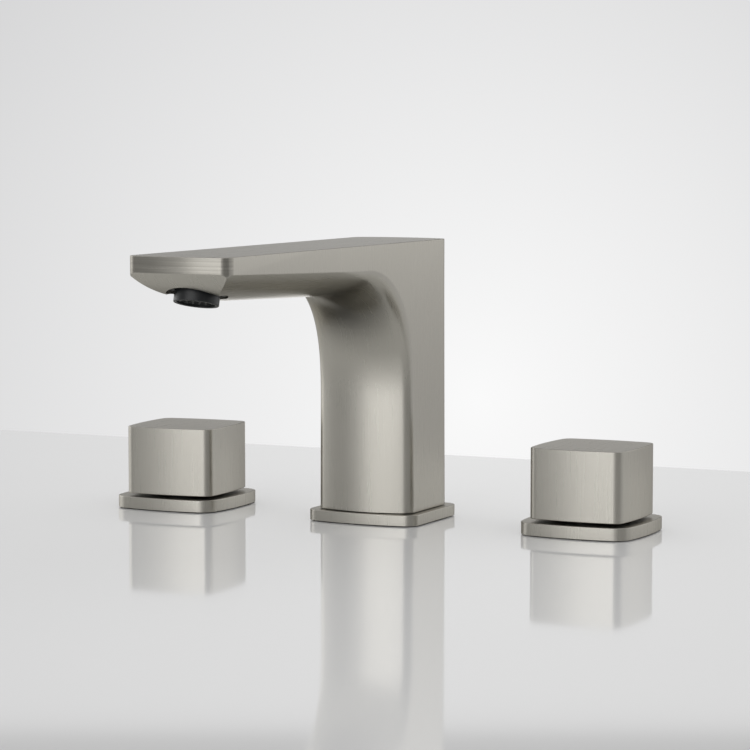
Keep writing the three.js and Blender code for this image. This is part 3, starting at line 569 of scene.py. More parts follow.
# Satin nickel: electroplated over polished brass, then brushed. The eye gets a warm grey metal whose
# reflections are drawn out square to its fine lines. The lines are drawn coarser than the real ones,
# only as coarse as it takes to see them. The spout's band is brushed level, which turns its reflections,
# and its colour is darkened as painted shade.
NICKEL = "#bdbab2"
# Painted shade: the band's colour, much darker than the nickel.
NICKEL_WORN = "#b8b5ad"
NICKEL_BAND_SHADE_PAINTED = "#827f78"
NICKEL_GRAZED = "#d8d6d2"
NICKEL_ROUGHNESS = (0.29, 0.27)
NICKEL_DRAWN_OUT = 0.45
LINE_SPACING = 0.35
LINE_LENGTH = 40
LINE_CONTRAST = (0.25, 0.75)
LINE_RELIEF = 0.05
LINE_DEPTH = 0.02
# A face's slant is 0 where it stands and 1 where it lies flat. Standing lines give way over UPRIGHT.
UPRIGHT = (0.04, 0.3)
LYING = 0.7


def brushed_nickel(name, level_before):
    """Lines stand on upright faces and run forward on the rest. In front of level_before they lie level,
    and the colour there is darkened as painted shade.
    """
    material, tree = new_material(name)
    place = add_node(tree, "ShaderNodeTexCoord")
    fine, long = 1 / (LINE_SPACING * MM), 1 / (LINE_LENGTH * MM)
    streaks = []
    for scale in ((fine, fine, long), (long, long, fine), (fine, long, long)):
        mapping = add_node(tree, "ShaderNodeMapping", {"Vector": place.outputs["Object"], "Scale": scale})
        streaks.append(add_node(tree, "ShaderNodeTexNoise", {
            "Vector": mapping, "Scale": 1.0, "Detail": 2.0, "Roughness": 0.6}))
    standing, level, running = streaks
    normal = add_node(tree, "ShaderNodeSeparateXYZ", {"Vector": place.outputs["Normal"]})
    slant = add_node(tree, "ShaderNodeMath", {0: normal.outputs["Z"]}, operation="ABSOLUTE")
    is_lying = add_node(tree, "ShaderNodeMath", {0: slant, 1: LYING}, operation="GREATER_THAN")
    leaning = add_node(tree, "ShaderNodeMapRange", {
        "Value": slant, "From Min": UPRIGHT[0], "From Max": UPRIGHT[1]})
    spot = add_node(tree, "ShaderNodeSeparateXYZ", {"Vector": place.outputs["Object"]})
    in_front = add_node(tree, "ShaderNodeMath", {
        0: spot.outputs["Y"], 1: level_before * MM}, operation="LESS_THAN")
    is_upright = add_node(tree, "ShaderNodeMath", {0: slant, 1: UPRIGHT[1]}, operation="LESS_THAN")
    on_band = add_node(tree, "ShaderNodeMath", {0: in_front, 1: is_upright}, operation="MINIMUM")
    upright_lines = add_node(tree, "ShaderNodeMix", {"Factor": on_band, 2: standing, 3: level})
    lines = add_node(tree, "ShaderNodeMix", {"Factor": leaning, 2: upright_lines, 3: running})
    surface = add_node(tree, "ShaderNodeNewGeometry")
    sideways = add_node(tree, "ShaderNodeVectorMath", {
        0: surface.outputs["Normal"], 1: (0, 0, 1)}, operation="CROSS_PRODUCT")
    across_upright = add_node(tree, "ShaderNodeMix", {
        "Factor": on_band, 4: sideways, 5: (0, 0, 1)}, data_type="VECTOR")
    across = add_node(tree, "ShaderNodeMix", {
        "Factor": is_lying, 4: across_upright, 5: (1, 0, 0)}, data_type="VECTOR")
    # The lines' darker tone, which on the band gives way to the painted shade.
    line_tone_and_band_shade = add_node(tree, "ShaderNodeMix", {
        "Factor": on_band, 6: linear(NICKEL_WORN), 7: linear(NICKEL_BAND_SHADE_PAINTED)}, data_type="RGBA")
    colour = add_node(tree, "ShaderNodeMix", {"Factor": lines, 6: line_tone_and_band_shade, 7: linear(NICKEL)}, data_type="RGBA")
    rough = add_node(tree, "ShaderNodeMapRange", {
        "Value": lines, "From Min": LINE_CONTRAST[0], "From Max": LINE_CONTRAST[1],
        "To Min": NICKEL_ROUGHNESS[0], "To Max": NICKEL_ROUGHNESS[1]})
    bump = add_node(tree, "ShaderNodeBump", {
        "Height": lines, "Strength": LINE_RELIEF, "Distance": LINE_DEPTH * MM})
    shader = add_node(tree, "ShaderNodeBsdfPrincipled", {
        "Base Color": colour, "Metallic": 1.0, "Roughness": rough, "Specular Tint": linear(NICKEL_GRAZED),
        "Anisotropic": NICKEL_DRAWN_OUT, "Tangent": across, "Normal": bump})
    add_node(tree, "ShaderNodeOutputMaterial", {"Surface": shader})
    return material


band_reach = 7
spout_nickel = brushed_nickel("brushed_nickel_spout", tip_y + band_reach)
spout_body = cut(spout_skin(), *spout_cutters())
spout_body.name = "spout_body_cast"
stands_for(spout_body, spout_nickel, "spout_body")

# Aerator. A unit moulded in black acetal, pushed up into the arm: a notched ring that screws into the
# bore, a sleeve that stands out of the mouth, a honeycomb outlet, a flow disc, a steel screen and a seal.

notches = 12
notch_width = 2
notch_depth = 1.5
ring_bottom = 2.2
ring_top = 7
sleeve_radius = 9.15
sleeve_proud = 2.8
inner_radius = 7.95
seat_radius = 7.75
fine_edge = 0.2
mould_edge = 0.3
seal_inner = 8.4
seal_top = 10.2
flow_holes = 6
flow_hole_width = 1.4
screen_slots = 6
screen_rim = 6.25
CELL_RINGS = 2.3


def sized_tree(name, *sizes):
    """An empty Geometry Nodes tree with a named input for each size, and the sockets of those inputs."""
    tree = bpy.data.node_groups.new(name, "GeometryNodeTree")
    tree.interface.new_socket("Geometry", in_out="OUTPUT", socket_type="NodeSocketGeometry")
    for size in sizes:
        tree.interface.new_socket(size, in_out="INPUT", socket_type="NodeSocketFloat")
    return tree, tree.nodes.new("NodeGroupInput").outputs


def end_tree(tree, geometry, material):
    real = add_node(tree, "GeometryNodeRealizeInstances", {"Geometry": geometry})
    painted = add_node(tree, "GeometryNodeSetMaterial", {"Geometry": real, "Material": material})
    add_node(tree, "NodeGroupOutput", {"Geometry": painted})
    return tree


def grown(tree, place=Matrix(), **sizes):
    """Runs a tree with these sizes in millimetres, and keeps its result as a plain mesh at its place."""
    made = in_scene(tree.name, bpy.data.meshes.new(tree.name))
    modifier = made.modifiers.new("grown", "NODES")
    modifier.node_group = tree
    for socket in tree.interface.items_tree:
        if socket.in_out == "INPUT":
            modifier[socket.identifier] = float(sizes[socket.name])
    applied(made)
    made.data.transform(Matrix.Scale(MM, 4) @ place)
    return made


def cutter_ring_tree(material):
    """Bars or rods spaced evenly round a circle and turned with it. A bar is a rod with four sides."""
    tree, size = sized_tree("cutter_ring", "count", "circle", "sides", "length", "width", "height")
    half_side = add_node(tree, "ShaderNodeMath", {0: pi, 1: size["sides"]}, operation="DIVIDE")
    across = add_node(tree, "ShaderNodeMath", {0: half_side}, operation="COSINE")
    reach = add_node(tree, "ShaderNodeMath", {0: 0.5, 1: across}, operation="DIVIDE")
    bar = add_node(tree, "GeometryNodeMeshCylinder", {
        "Vertices": size["sides"], "Radius": reach, "Depth": 1.0})
    turn = add_node(tree, "ShaderNodeCombineXYZ", {"Z": half_side})
    squared = add_node(tree, "GeometryNodeTransform", {"Geometry": bar, "Rotation": turn})
    ring = add_node(tree, "GeometryNodeMeshCircle", {"Vertices": size["count"], "Radius": size["circle"]})
    at = add_node(tree, "GeometryNodeInputPosition")
    outwards = add_node(tree, "FunctionNodeAlignRotationToVector", {"Vector": at}, axis="X")
    scale = add_node(tree, "ShaderNodeCombineXYZ", {
        "X": size["length"], "Y": size["width"], "Z": size["height"]})
    copies = add_node(tree, "GeometryNodeInstanceOnPoints", {
        "Points": ring, "Instance": squared, "Rotation": outwards, "Scale": scale})
    return end_tree(tree, copies, material)


def honeycomb_tree(material):
    """A round plate with hexagonal cells: a middle one and those within CELL_RINGS pitches of it."""
    tree, size = sized_tree("honeycomb", "radius", "height", "pitch", "flats")
    lattice = add_node(tree, "GeometryNodeMeshGrid", {
        "Size X": 4.0, "Size Y": 4.0, "Vertices X": 5, "Vertices Y": 5})
    at = add_node(tree, "GeometryNodeInputPosition")
    square = add_node(tree, "ShaderNodeSeparateXYZ", {"Vector": at})
    slid = add_node(tree, "ShaderNodeMath", {
        0: square.outputs["Y"], 1: 0.5, 2: square.outputs["X"]}, operation="MULTIPLY_ADD")
    squeezed = add_node(tree, "ShaderNodeMath", {
        0: square.outputs["Y"], 1: sqrt(3) / 2}, operation="MULTIPLY")
    spot = add_node(tree, "ShaderNodeCombineXYZ", {"X": slid, "Y": squeezed})
    spread = add_node(tree, "ShaderNodeVectorMath", {0: spot, "Scale": size["pitch"]}, operation="SCALE")
    slid_lattice = add_node(tree, "GeometryNodeSetPosition", {"Geometry": lattice, "Position": spread})
    away = add_node(tree, "ShaderNodeVectorMath", {0: at}, operation="LENGTH")
    limit = add_node(tree, "ShaderNodeMath", {0: size["pitch"], 1: CELL_RINGS}, operation="MULTIPLY")
    outside = add_node(tree, "ShaderNodeMath", {0: away, 1: limit}, operation="GREATER_THAN")
    kept = add_node(tree, "GeometryNodeDeleteGeometry", {"Geometry": slid_lattice, "Selection": outside})
    corner = add_node(tree, "ShaderNodeMath", {0: size["flats"], 1: 1 / sqrt(3)}, operation="MULTIPLY")
    depth = add_node(tree, "ShaderNodeMath", {0: size["height"], 1: 2.0}, operation="MULTIPLY")
    cell = add_node(tree, "GeometryNodeMeshCylinder", {"Vertices": 6, "Radius": corner, "Depth": depth})
    cells = add_node(tree, "GeometryNodeInstanceOnPoints", {
        "Points": kept, "Instance": cell, "Rotation": (0, 0, QUARTER)})
    real_cells = add_node(tree, "GeometryNodeRealizeInstances", {"Geometry": cells})
    plate = add_node(tree, "GeometryNodeMeshCylinder", {
        "Vertices": ROUND_STEPS, "Radius": size["radius"], "Depth": size["height"]})
    pierced = add_node(tree, "GeometryNodeMeshBoolean", {
        "Mesh 1": plate, "Mesh 2": real_cells}, operation="DIFFERENCE", solver="EXACT")
    return end_tree(tree, pierced, material)


def tube(name, inner, outer, bottom, top, edge, place):
    """A tube with its four edges taken off."""
    return turned([
        (inner + edge, bottom), (outer - edge, bottom), (outer, bottom + edge), (outer, top - edge),
        (outer - edge, top), (inner + edge, top), (inner, top - edge), (inner, bottom + edge)], name, place)


def grained(name, dark, light, scale, roughness, relief, depth, inputs):
    """Two close tones in faint clouds, and a fine grain or marks of this scale in the surface."""
    material, tree = new_material(name)
    place = add_node(tree, "ShaderNodeTexCoord").outputs["Object"]
    cloud = add_node(tree, "ShaderNodeTexNoise", {
        "Vector": place, "Scale": 1 / (CLOUD_SIZE * MM), "Detail": 3.0})
    colour = add_node(tree, "ShaderNodeMix", {
        "Factor": cloud, 6: linear(dark), 7: linear(light)}, data_type="RGBA")
    mapping = add_node(tree, "ShaderNodeMapping", {"Vector": place, "Scale": scale})
    grain = add_node(tree, "ShaderNodeTexNoise", {"Vector": mapping, "Scale": 1.0, "Detail": 2.0})
    rough = add_node(tree, "ShaderNodeMapRange", {
        "Value": grain, "From Min": 0.3, "From Max": 0.7, "To Min": roughness[0], "To Max": roughness[1]})
    bump = add_node(tree, "ShaderNodeBump", {"Height": grain, "Strength": relief, "Distance": depth * MM})
    shader = add_node(tree, "ShaderNodeBsdfPrincipled", {
        "Base Color": colour, "Roughness": rough, "Normal": bump, **inputs})
    add_node(tree, "ShaderNodeOutputMaterial", {"Surface": shader})
    return material


MOULDED_SPREAD = (0.06, 0.06)
MOULDED_RELIEF = 0.3
MOULDED_DEPTH = 0.03


def moulded(name, dark, light, grain, roughness, ior):
    """Plastic, rubber or ceramic as it leaves its mould, with an even grain of this size."""
    scale = 1 / (grain * MM)
    spread = (roughness - MOULDED_SPREAD[0], roughness + MOULDED_SPREAD[1])
    return grained(name, dark, light, (scale, scale, scale), spread, MOULDED_RELIEF, MOULDED_DEPTH,
                   {"IOR": ior})


MACHINED_SPREAD = (0.06, 0.08)
MACHINED_RELIEF = 0.25
MACHINED_DEPTH = 0.02


def machined(name, dark, light, mark, roughness):
    """A bare metal, faintly tarnished, with turning marks this far apart that lie level round it."""
    along, between = 1 / (LINE_LENGTH * MM), 1 / (mark * MM)
    spread = (roughness - MACHINED_SPREAD[0], roughness + MACHINED_SPREAD[1])
    return grained(name, dark, light, (along, along, between), spread, MACHINED_RELIEF, MACHINED_DEPTH,
                   {"Metallic": 1.0})


# Acetal is moulded: near-black or milk-white, with a soft shine. Nitrile rubber is moulded too, but dull.
# The screen is stainless steel, a cool grey with fine marks. Grains and marks are drawn coarser than the
# real ones, as coarse as it takes to see them.
CLOUD_SIZE = 6
black_acetal = moulded("black_acetal", "#151617", "#222426", 0.5, 0.36, 1.48)
white_acetal = moulded("white_acetal", "#d6d3cb", "#e4e2dc", 0.5, 0.34, 1.48)
nitrile_rubber = moulded("nitrile_rubber", "#121212", "#1d1d1e", 0.35, 0.62, 1.52)
stainless_steel = machined("stainless_steel", "#b0b1b1", "#c6c7c7", 0.25, 0.28)
cutter_ring = cutter_ring_tree(black_acetal)
honeycomb = honeycomb_tree(black_acetal)


def raised(height):
    """Moves a shape up its axis."""
    return Matrix.Translation((0, 0, height))


ring = tube("aerator_ring", sleeve_radius + clearance, bore_radius - clearance, ring_bottom, ring_top,
            fine_edge, aerator_place)
cut(ring, grown(cutter_ring, aerator_place @ raised(ring_bottom), count=notches, sides=4,
                circle=(sleeve_radius + bore_radius) / 2, length=bore_radius - sleeve_radius + overrun,
                width=notch_width, height=2 * notch_depth))
stands_for(ring, black_acetal, "aerator_housing")

flange_radius = bore_radius - 2 * clearance
flange_bottom, flange_top = 7.3, 8.1
sleeve_bore = inner_radius + clearance
lip_bottom, lip_top = fine_edge - sleeve_proud, 0.5 - sleeve_proud
sleeve_profile = [
    (seat_radius + fine_edge, -sleeve_proud), (sleeve_radius - fine_edge, -sleeve_proud),
    (sleeve_radius, lip_bottom), (sleeve_radius, flange_bottom), (flange_radius - fine_edge, flange_bottom),
    (flange_radius, flange_bottom + fine_edge), (flange_radius, flange_top),
    (sleeve_bore + fine_edge, flange_top), (sleeve_bore, flange_top - fine_edge), (sleeve_bore, lip_top),
    (seat_radius, lip_top), (seat_radius, lip_bottom)]
stands_for(turned(sleeve_profile, "aerator_sleeve", aerator_place), black_acetal, "aerator_insert")

cells = grown(honeycomb, aerator_place, radius=inner_radius, height=4, pitch=2.9, flats=2.4)
cells.name = "aerator_honeycomb_plate"
stands_for(cells, black_acetal, "aerator_honeycomb")

disc_bottom, disc_top, stud_radius, stud_top = 2.3, 4.3, 1.5, 5.3
disc_profile = [
    (0, disc_bottom), (seat_radius, disc_bottom), (inner_radius, disc_bottom + fine_edge),
    (inner_radius, disc_top - fine_edge), (seat_radius, disc_top), (stud_radius, disc_top),
    (stud_radius, stud_top - fine_edge), (stud_radius - fine_edge, stud_top), (0, stud_top)]
flow_disc = turned(disc_profile, "aerator_flow_disc", aerator_place)
cut(flow_disc, grown(cutter_ring, aerator_place @ raised(3), count=flow_holes, circle=5, sides=24,
                     length=flow_hole_width, width=flow_hole_width, height=4))
stands_for(flow_disc, white_acetal, "aerator_regulator")

screen_bottom, screen_top, crown, sheet = 4.6, 8.2, 2, 0.6
screen_profile = [
    (screen_rim, screen_bottom), (inner_radius, screen_bottom), (inner_radius, screen_bottom + sheet),
    (screen_rim + sheet, screen_bottom + sheet), (crown, screen_top), (0, screen_top),
    (0, screen_top - sheet), (crown - fine_edge, screen_top - sheet), (screen_rim, screen_bottom + 0.4)]
screen = turned(screen_profile, "aerator_screen", aerator_place)
slot_turn = Matrix.Rotation(pi / screen_slots, 4, "Z")
cut(screen, grown(cutter_ring, aerator_place @ raised(6) @ slot_turn, count=screen_slots, circle=4.3, sides=4,
                  length=3.6, width=0.9, height=8))
stands_for(screen, stainless_steel, "aerator_strainer")

seal = tube("aerator_seal_ring", seal_inner, flange_radius, flange_top + clearance, seal_top, mould_edge,
            aerator_place)
stands_for(seal, nitrile_rubber, "aerator_seal")

# Base plates. Nickel-plated brass plates with bowed sides, one under the spout and one under each knob.
# Each is stamped square, bored for its tube and recessed below for a rubber gasket.

plate_low, plate_high = box_of("spout_escutcheon")
gasket_proud = plate_low[2]
gasket_thickness = 2
gasket_inset = 3
plate_bottom_round = 0.2


def cushion_plan(half, bow, corner, inset=0.0):
    """A square with four bowed sides and round corners, set in evenly by inset."""
    set_back = bow - half
    centre = (sqrt(2 * (bow - corner) ** 2 - set_back ** 2) - set_back) / 2
    lean = atan2(centre, centre + set_back)
    side = []
    for i in range(2 * bow_steps):
        angle = lerp(-lean, lean, i / (2 * bow_steps))
        side.append(((bow - inset) * cos(angle) - set_back, (bow - inset) * sin(angle)))
    for i in range(corner_steps):
        angle = lerp(lean, QUARTER - lean, i / corner_steps)
        reach = corner - inset
        side.append((centre + reach * cos(angle), centre + reach * sin(angle)))
    plan = []
    for quarter in range(4):
        turn = Matrix.Rotation(quarter * QUARTER, 2)
        plan += [tuple(turn @ Vector(point)) for point in side]
    return plan


def circles(outline, *profile):
    """Levels (circle, height) up a [radius, height] profile, with a point for each one of the outline."""
    return [([(radius * x / hypot(x, y), radius * y / hypot(x, y)) for x, y in outline], height)
            for radius, height in profile]


def stacked(levels, name, place=Matrix(), closed=True):
    """A loft through (outline, height) levels. Unless closed on itself it ends in a point at each end."""
    mesh = bmesh.new()
    rings = [[place @ Vector((x, y, z)) for x, y in outline] for outline, z in levels]
    if closed:
        rings.append([point.copy() for point in rings[0]])
    grid = add_rows(mesh, rings)
    if not closed:
        for ring in (grid[0], grid[-1]):
            centre = mesh.verts.new(sum((v.co for v in ring), Vector()) / len(ring))
            for k in range(len(ring)):
                mesh.faces.new((ring[k], ring[(k + 1) % len(ring)], centre))
    return object_from(mesh, name)


def side_levels(plan_at, bottom, low_round, top, high_round, start=0.0):
    """Levels up a side whose lower and upper edges are rounded, set in evenly by start."""
    levels = []
    for height, edge, up in ((bottom, low_round, -1), (top, high_round, 1)):
        rounding = []
        for step in range(rim_steps + 1):
            turn = QUARTER * step / rim_steps
            inset = start + edge * (1 - cos(turn))
            rounding.append((plan_at(inset), height + edge * (sin(turn) - 1) * up))
        levels += rounding[::up]
    return levels


def base_plate(side, plan_at, hole, thickness, land=None):
    """A plate with a recess below and a hole for its tube. A land is a low round step on its top."""
    bottom, top = gasket_proud, gasket_proud + thickness
    outline = plan_at(0)
    levels = side_levels(plan_at, bottom, plate_bottom_round, top, rim_round)
    if land:
        land_radius, land_top = land
        levels += circles(outline, (land_radius, top), (land_radius, land_top))
        top = land_top
    levels += circles(outline, (hole, top), (hole, gasket_thickness))
    levels += [(plan_at(gasket_inset), gasket_thickness), (plan_at(gasket_inset), bottom)]
    node = f"{side}_escutcheon"
    plate = stacked(levels, f"{side}_base_plate", axis_of(node))
    stands_for(plate, plate_nickel, node)


def spout_plate_plan(inset):
    """Straight sides and a bowed front and back."""
    face = face_points(plate_high[0], spout_plate_bow, spout_plate_corner, inset)
    half_y = plate_high[1]
    return [(x, half_y - depth) for x, depth in face] + [(-x, depth - half_y) for x, depth in face]


def knob_plate_plan(inset):
    return cushion_plan(knob_plate_half, knob_plate_bow, knob_plate_corner, inset)


def axis_of(node):
    """The upright axis through the middle of a CAD node."""
    low, high = box_of(node)
    return Matrix.Translation(((low[0] + high[0]) / 2, (low[1] + high[1]) / 2, 0))


spout_plate_bow = 119
spout_plate_corner = 6.25
spout_plate_thickness = 4.9
knob_plate_half = millimetres(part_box("hot_escutcheon")[1].y)
knob_plate_bow = 124
knob_plate_corner = 8
knob_plate_thickness = 5.5
neck_radius = 13
land_margin = 2
NEVER_LEVEL = -100

plate_nickel = brushed_nickel("brushed_nickel_plates", NEVER_LEVEL)
land = (shank_radius + clearance + spout_wall + land_margin, spout_foot)
spout_hole = shank_radius + 2 * clearance
knob_hole = neck_radius + 2 * clearance
base_plate("spout", spout_plate_plan, spout_hole, spout_plate_thickness, land)
for side in ("hot", "cold"):
    base_plate(side, knob_plate_plan, knob_hole, knob_plate_thickness)

# Gaskets. Flat nitrile rubber under each base plate, cut to the plate's outline and a little proud of its
# recess, so that the plate rests on it a hair above the deck.

gasket_edge = 0.3


def gasket(side, plan_at, hole):
    inset = gasket_inset + clearance
    levels = side_levels(plan_at, 0, gasket_edge, gasket_thickness, gasket_edge, inset)
    levels += circles(plan_at(0), (hole, gasket_thickness), (hole, 0))
    node = f"{side}_gasket"
    stands_for(stacked(levels, f"{side}_plate_gasket", axis_of(node)), nitrile_rubber, node)


gasket("spout", spout_plate_plan, spout_hole)
for side in ("hot", "cold"):
    gasket(side, knob_plate_plan, knob_hole)

# Spout shank. A threaded brass tube that draws the spout down on the deck, sealed in the column by a
# ring; a hexagonal nipple at its foot takes the hose. Both are turned from bar.

THREAD_STEPS = 64
shank_bore = 6
shank_foot = -60
shank_groove = 20.05
thread_pitch = 1.5
thread_depth = 0.8
nipple_end = -80
nipple_groove = -74
nipple_floor = 4.1
nipple_radius = 5
nipple_bore = 3.2
nipple_flats = 22
spigot_radius = 5.7


def thread_tree(material):
    """A ribbon wound up a tube: each turn is one ridge, and its first and last turns fade into the tube."""
    tree, size = sized_tree("thread", "root", "crest", "pitch", "bottom", "top", "steps")
    value = {**size, "index": add_node(tree, "GeometryNodeInputIndex")}
    rows = 6
    for name, operation, *operands in (
            ("length", "SUBTRACT", "top", "bottom"),
            ("pitches", "DIVIDE", "length", "pitch"),
            ("whole", "CEIL", "pitches"),
            ("turns", "ADD", "whole", 3),
            ("around", "MULTIPLY", "turns", "steps"),
            ("columns", "ADD", "around", 1),
            ("place", "DIVIDE", "index", rows),
            ("column", "FLOOR", "place"),
            ("passed", "MULTIPLY", "column", rows),
            ("row", "SUBTRACT", "index", "passed"),
            ("share", "DIVIDE", "row", rows - 1),
            ("lap", "DIVIDE", "column", "steps"),
            ("angle", "MULTIPLY", "lap", 2 * pi),
            ("climbed", "ADD", "lap", "share"),
            ("started", "SUBTRACT", "climbed", 2),
            ("free", "MULTIPLY_ADD", "started", "pitch", "bottom"),
            ("floored", "MAXIMUM", "free", "bottom"),
            ("height", "MINIMUM", "floored", "top"),
            ("above", "SUBTRACT", "height", "bottom"),
            ("below", "SUBTRACT", "top", "height"),
            ("nearest", "MINIMUM", "above", "below"),
            ("run_out", "DIVIDE", "nearest", "pitch"),
            ("fade", "MINIMUM", "run_out", 1),
            ("off_middle", "SUBTRACT", "share", 0.5),
            ("from_middle", "ABSOLUTE", "off_middle"),
            ("from_edge", "SUBTRACT", 0.5, "from_middle"),
            ("flank", "DIVIDE", "from_edge", 0.4),
            ("ridge", "MINIMUM", "flank", 1),
            ("raised", "MULTIPLY", "ridge", "fade"),
            ("depth", "SUBTRACT", "crest", "root"),
            ("radius", "MULTIPLY_ADD", "raised", "depth", "root"),
            ("cosine", "COSINE", "angle"),
            ("sine", "SINE", "angle"),
            ("x", "MULTIPLY", "radius", "cosine"),
            ("y", "MULTIPLY", "radius", "sine")):
        inputs = {k: value.get(operand, operand) for k, operand in enumerate(operands)}
        value[name] = add_node(tree, "ShaderNodeMath", inputs, operation=operation)
    ribbon = add_node(tree, "GeometryNodeMeshGrid", {"Vertices X": value["columns"], "Vertices Y": rows})
    spot = add_node(tree, "ShaderNodeCombineXYZ", {"X": value["x"], "Y": value["y"], "Z": value["height"]})
    wound = add_node(tree, "GeometryNodeSetPosition", {"Geometry": ribbon, "Position": spot})
    welded = add_node(tree, "GeometryNodeMergeByDistance", {
        "Geometry": wound, "Distance": millimetres(MERGE)})
    return end_tree(tree, welded, material)


def threaded(chains, threads, name, place):
    """Open profiles turned about the axis, with a thread (root, crest, pitch, bottom, top) in each gap."""
    mesh = bmesh.new()
    for chain in chains:
        add_turned(mesh, chain, place, THREAD_STEPS, False)
    for root, crest, pitch, bottom, top in threads:
        ridge = grown(thread, place, root=root, crest=crest, pitch=pitch, bottom=bottom, top=top,
                      steps=THREAD_STEPS)
        mesh.from_mesh(ridge.data)
        bpy.data.objects.remove(ridge)
    return object_from(mesh, name)


def hex_plan(flats, limit=inf):
    """A hexagon with corners on X, kept inside a circle."""
    points = []
    for i in range(HEX_STEPS):
        angle = 2 * pi * i / HEX_STEPS
        off_flat = angle % (pi / 3) - pi / 6
        reach = min(flats / 2 / cos(off_flat), limit)
        points.append((reach * cos(angle), reach * sin(angle)))
    return points


def hex_levels(flats, bottom, top):
    """Outlines up a hexagon whose corners are turned off at both faces."""
    across = flats / 2
    corner = across / cos(pi / 6)
    lower = []
    for i in range(CHAMFER_STEPS + 1):
        limit = lerp(across, corner, i / CHAMFER_STEPS)
        lower.append((hex_plan(flats, limit), bottom + (limit - across) / 2))
    return lower + [(outline, bottom + top - height) for outline, height in reversed(lower)]


def circle_levels(*profile):
    """Round levels that join on to those of a hexagon."""
    return circles(hex_plan(1), *profile)


def seal_ring(name, node, floor, place=Matrix()):
    """A rubber ring that fills a groove from its floor to a little beyond the groove's rim."""
    low, high = box_of(node)
    outer = (high[0] - low[0]) / 2
    profile = []
    for i in range(SEAL_STEPS):
        angle = 2 * pi * i / SEAL_STEPS
        radius = (floor + outer) / 2 + (outer - floor) / 2 * cos(angle)
        profile.append((radius, (low[2] + high[2]) / 2 + (high[2] - low[2]) / 2 * sin(angle)))
    stands_for(turned(profile, name, place), nitrile_rubber, node)


# Brass bar, turned and left bare: a warm yellow, a little dulled, with marks level round the piece.
HEX_STEPS = 96
CHAMFER_STEPS = 5
SEAL_STEPS = 20
turned_brass = machined("turned_brass", "#b08d4b", "#c8a561", 0.3, 0.3)
thread = thread_tree(turned_brass)

thread_root = shank_radius - thread_depth
groove_floor = shank_radius - 1.4
groove_bottom, groove_top = shank_groove - 1, shank_groove + 1
thread_bottom, thread_top = shank_foot + 1, 3
chamfer = 0.4
shank_chain = [
    (thread_root, thread_top), (shank_radius, thread_top + thread_depth), (shank_radius, groove_bottom),
    (groove_floor, groove_bottom), (groove_floor, groove_top), (shank_radius, groove_top),
    (shank_radius, shank_top - chamfer), (shank_radius - chamfer, shank_top),
    (shank_bore + chamfer, shank_top), (shank_bore, shank_top - chamfer), (shank_bore, shank_foot + chamfer),
    (shank_bore + chamfer, shank_foot), (thread_root, shank_foot), (thread_root, thread_bottom)]
shank_tube = threaded([shank_chain], [(thread_root, shank_radius, thread_pitch, thread_bottom, thread_top)],
                      "spout_shank_tube", Matrix())
stands_for(shank_tube, turned_brass, "spout_shank")
seal_ring("spout_shank_seal", "spout_shank_oring", groove_floor)

groove_bottom, groove_top = nipple_groove - 0.9, nipple_groove + 0.9
hexagon_bottom, nipple_top = shank_foot - 5, shank_foot + 10
nipple_levels = circle_levels(
    (nipple_radius - 0.5, nipple_end), (nipple_radius, nipple_end + 0.5), (nipple_radius, groove_bottom),
    (nipple_floor, groove_bottom), (nipple_floor, groove_top), (nipple_radius, groove_top),
    (nipple_radius, hexagon_bottom))
nipple_levels += hex_levels(nipple_flats, hexagon_bottom, shank_foot)
nipple_levels += circle_levels(
    (spigot_radius, shank_foot), (spigot_radius, nipple_top - chamfer), (spigot_radius - chamfer, nipple_top),
    (nipple_bore + 0.3, nipple_top), (nipple_bore, nipple_top - 0.3), (nipple_bore, nipple_end + 0.3),
    (nipple_bore + 0.3, nipple_end))
stands_for(stacked(nipple_levels, "spout_hose_nipple"), turned_brass, "spout_inlet_nipple")
seal_ring("spout_inlet_seal", "spout_inlet_oring", nipple_floor)

# Clamps. Under the deck each tube carries a rubber washer, a stainless steel washer and a brass nut,
# which pull its base plate down. All three are the same but for their sizes.

deck_underside = -25
rubber_bottom = -28
steel_bottom = -29.6
nut_bottom = -37.6
washer_edge = 0.15
nut_chamfer = 0.6


def clamp(side, bore, washer_radius, flats, place):
    rubber = tube(f"{side}_clamp_rubber", bore, washer_radius, rubber_bottom, deck_underside, mould_edge,
                  place)
    stands_for(rubber, nitrile_rubber, f"{side}_rubber_washer")
    washer = tube(f"{side}_clamp_washer", bore, washer_radius - 1.5, steel_bottom, rubber_bottom, washer_edge,
                  place)
    stands_for(washer, stainless_steel, f"{side}_steel_washer")
    levels = hex_levels(flats, nut_bottom, steel_bottom)
    levels += circle_levels((bore + nut_chamfer, steel_bottom), (bore, steel_bottom - nut_chamfer),
                            (bore, nut_bottom + nut_chamfer), (bore + nut_chamfer, nut_bottom))
    stands_for(stacked(levels, f"{side}_clamp_nut", place), turned_brass, f"{side}_mounting_nut")


def fixed_place(side):
    """The cold valve is the hot one turned round, so that both outlets face the spout."""
    return axis_of(f"{side}_escutcheon") @ Matrix.Rotation(pi if side == "cold" else 0, 4, "Z")


clamp("spout", shank_radius + clearance, 20, 32, Matrix())
for side in ("hot", "cold"):
    clamp(side, neck_radius + clearance, 22, 38, fixed_place(side))

# Valve bodies. Brass castings with a threaded neck through the deck, an inlet below and an outlet to the
# side, bored out for the cartridge. A notched ring of black acetal screws down on each base plate.

chamber_bore = 10
neck_top = 12
seat = -19.7
outlet_height = -57
ring_outer = 17
ring_height = 4
neck_root = neck_radius - 0.9
neck_thread = (-45, 11.4)
block_radius = 15.5
block_bottom, block_top = -68, -46
block_edge = 0.5
pipe_pitch = 1.8
inlet_end = -88
inlet_root, inlet_radius = 9.65, 10.45
inlet_thread = (-87.5, -70)
inlet_bore, riser_bore = 5, 3.4
outlet_end = 32
outlet_root, outlet_radius = 7.7, 8.5
outlet_thread = (17.6, 31)
outlet_bore = 4.2
passage_bore, passage_x = 1.7, 9.2
VALVE_BORE_STEPS = 72
PASSAGE_STEPS = 32


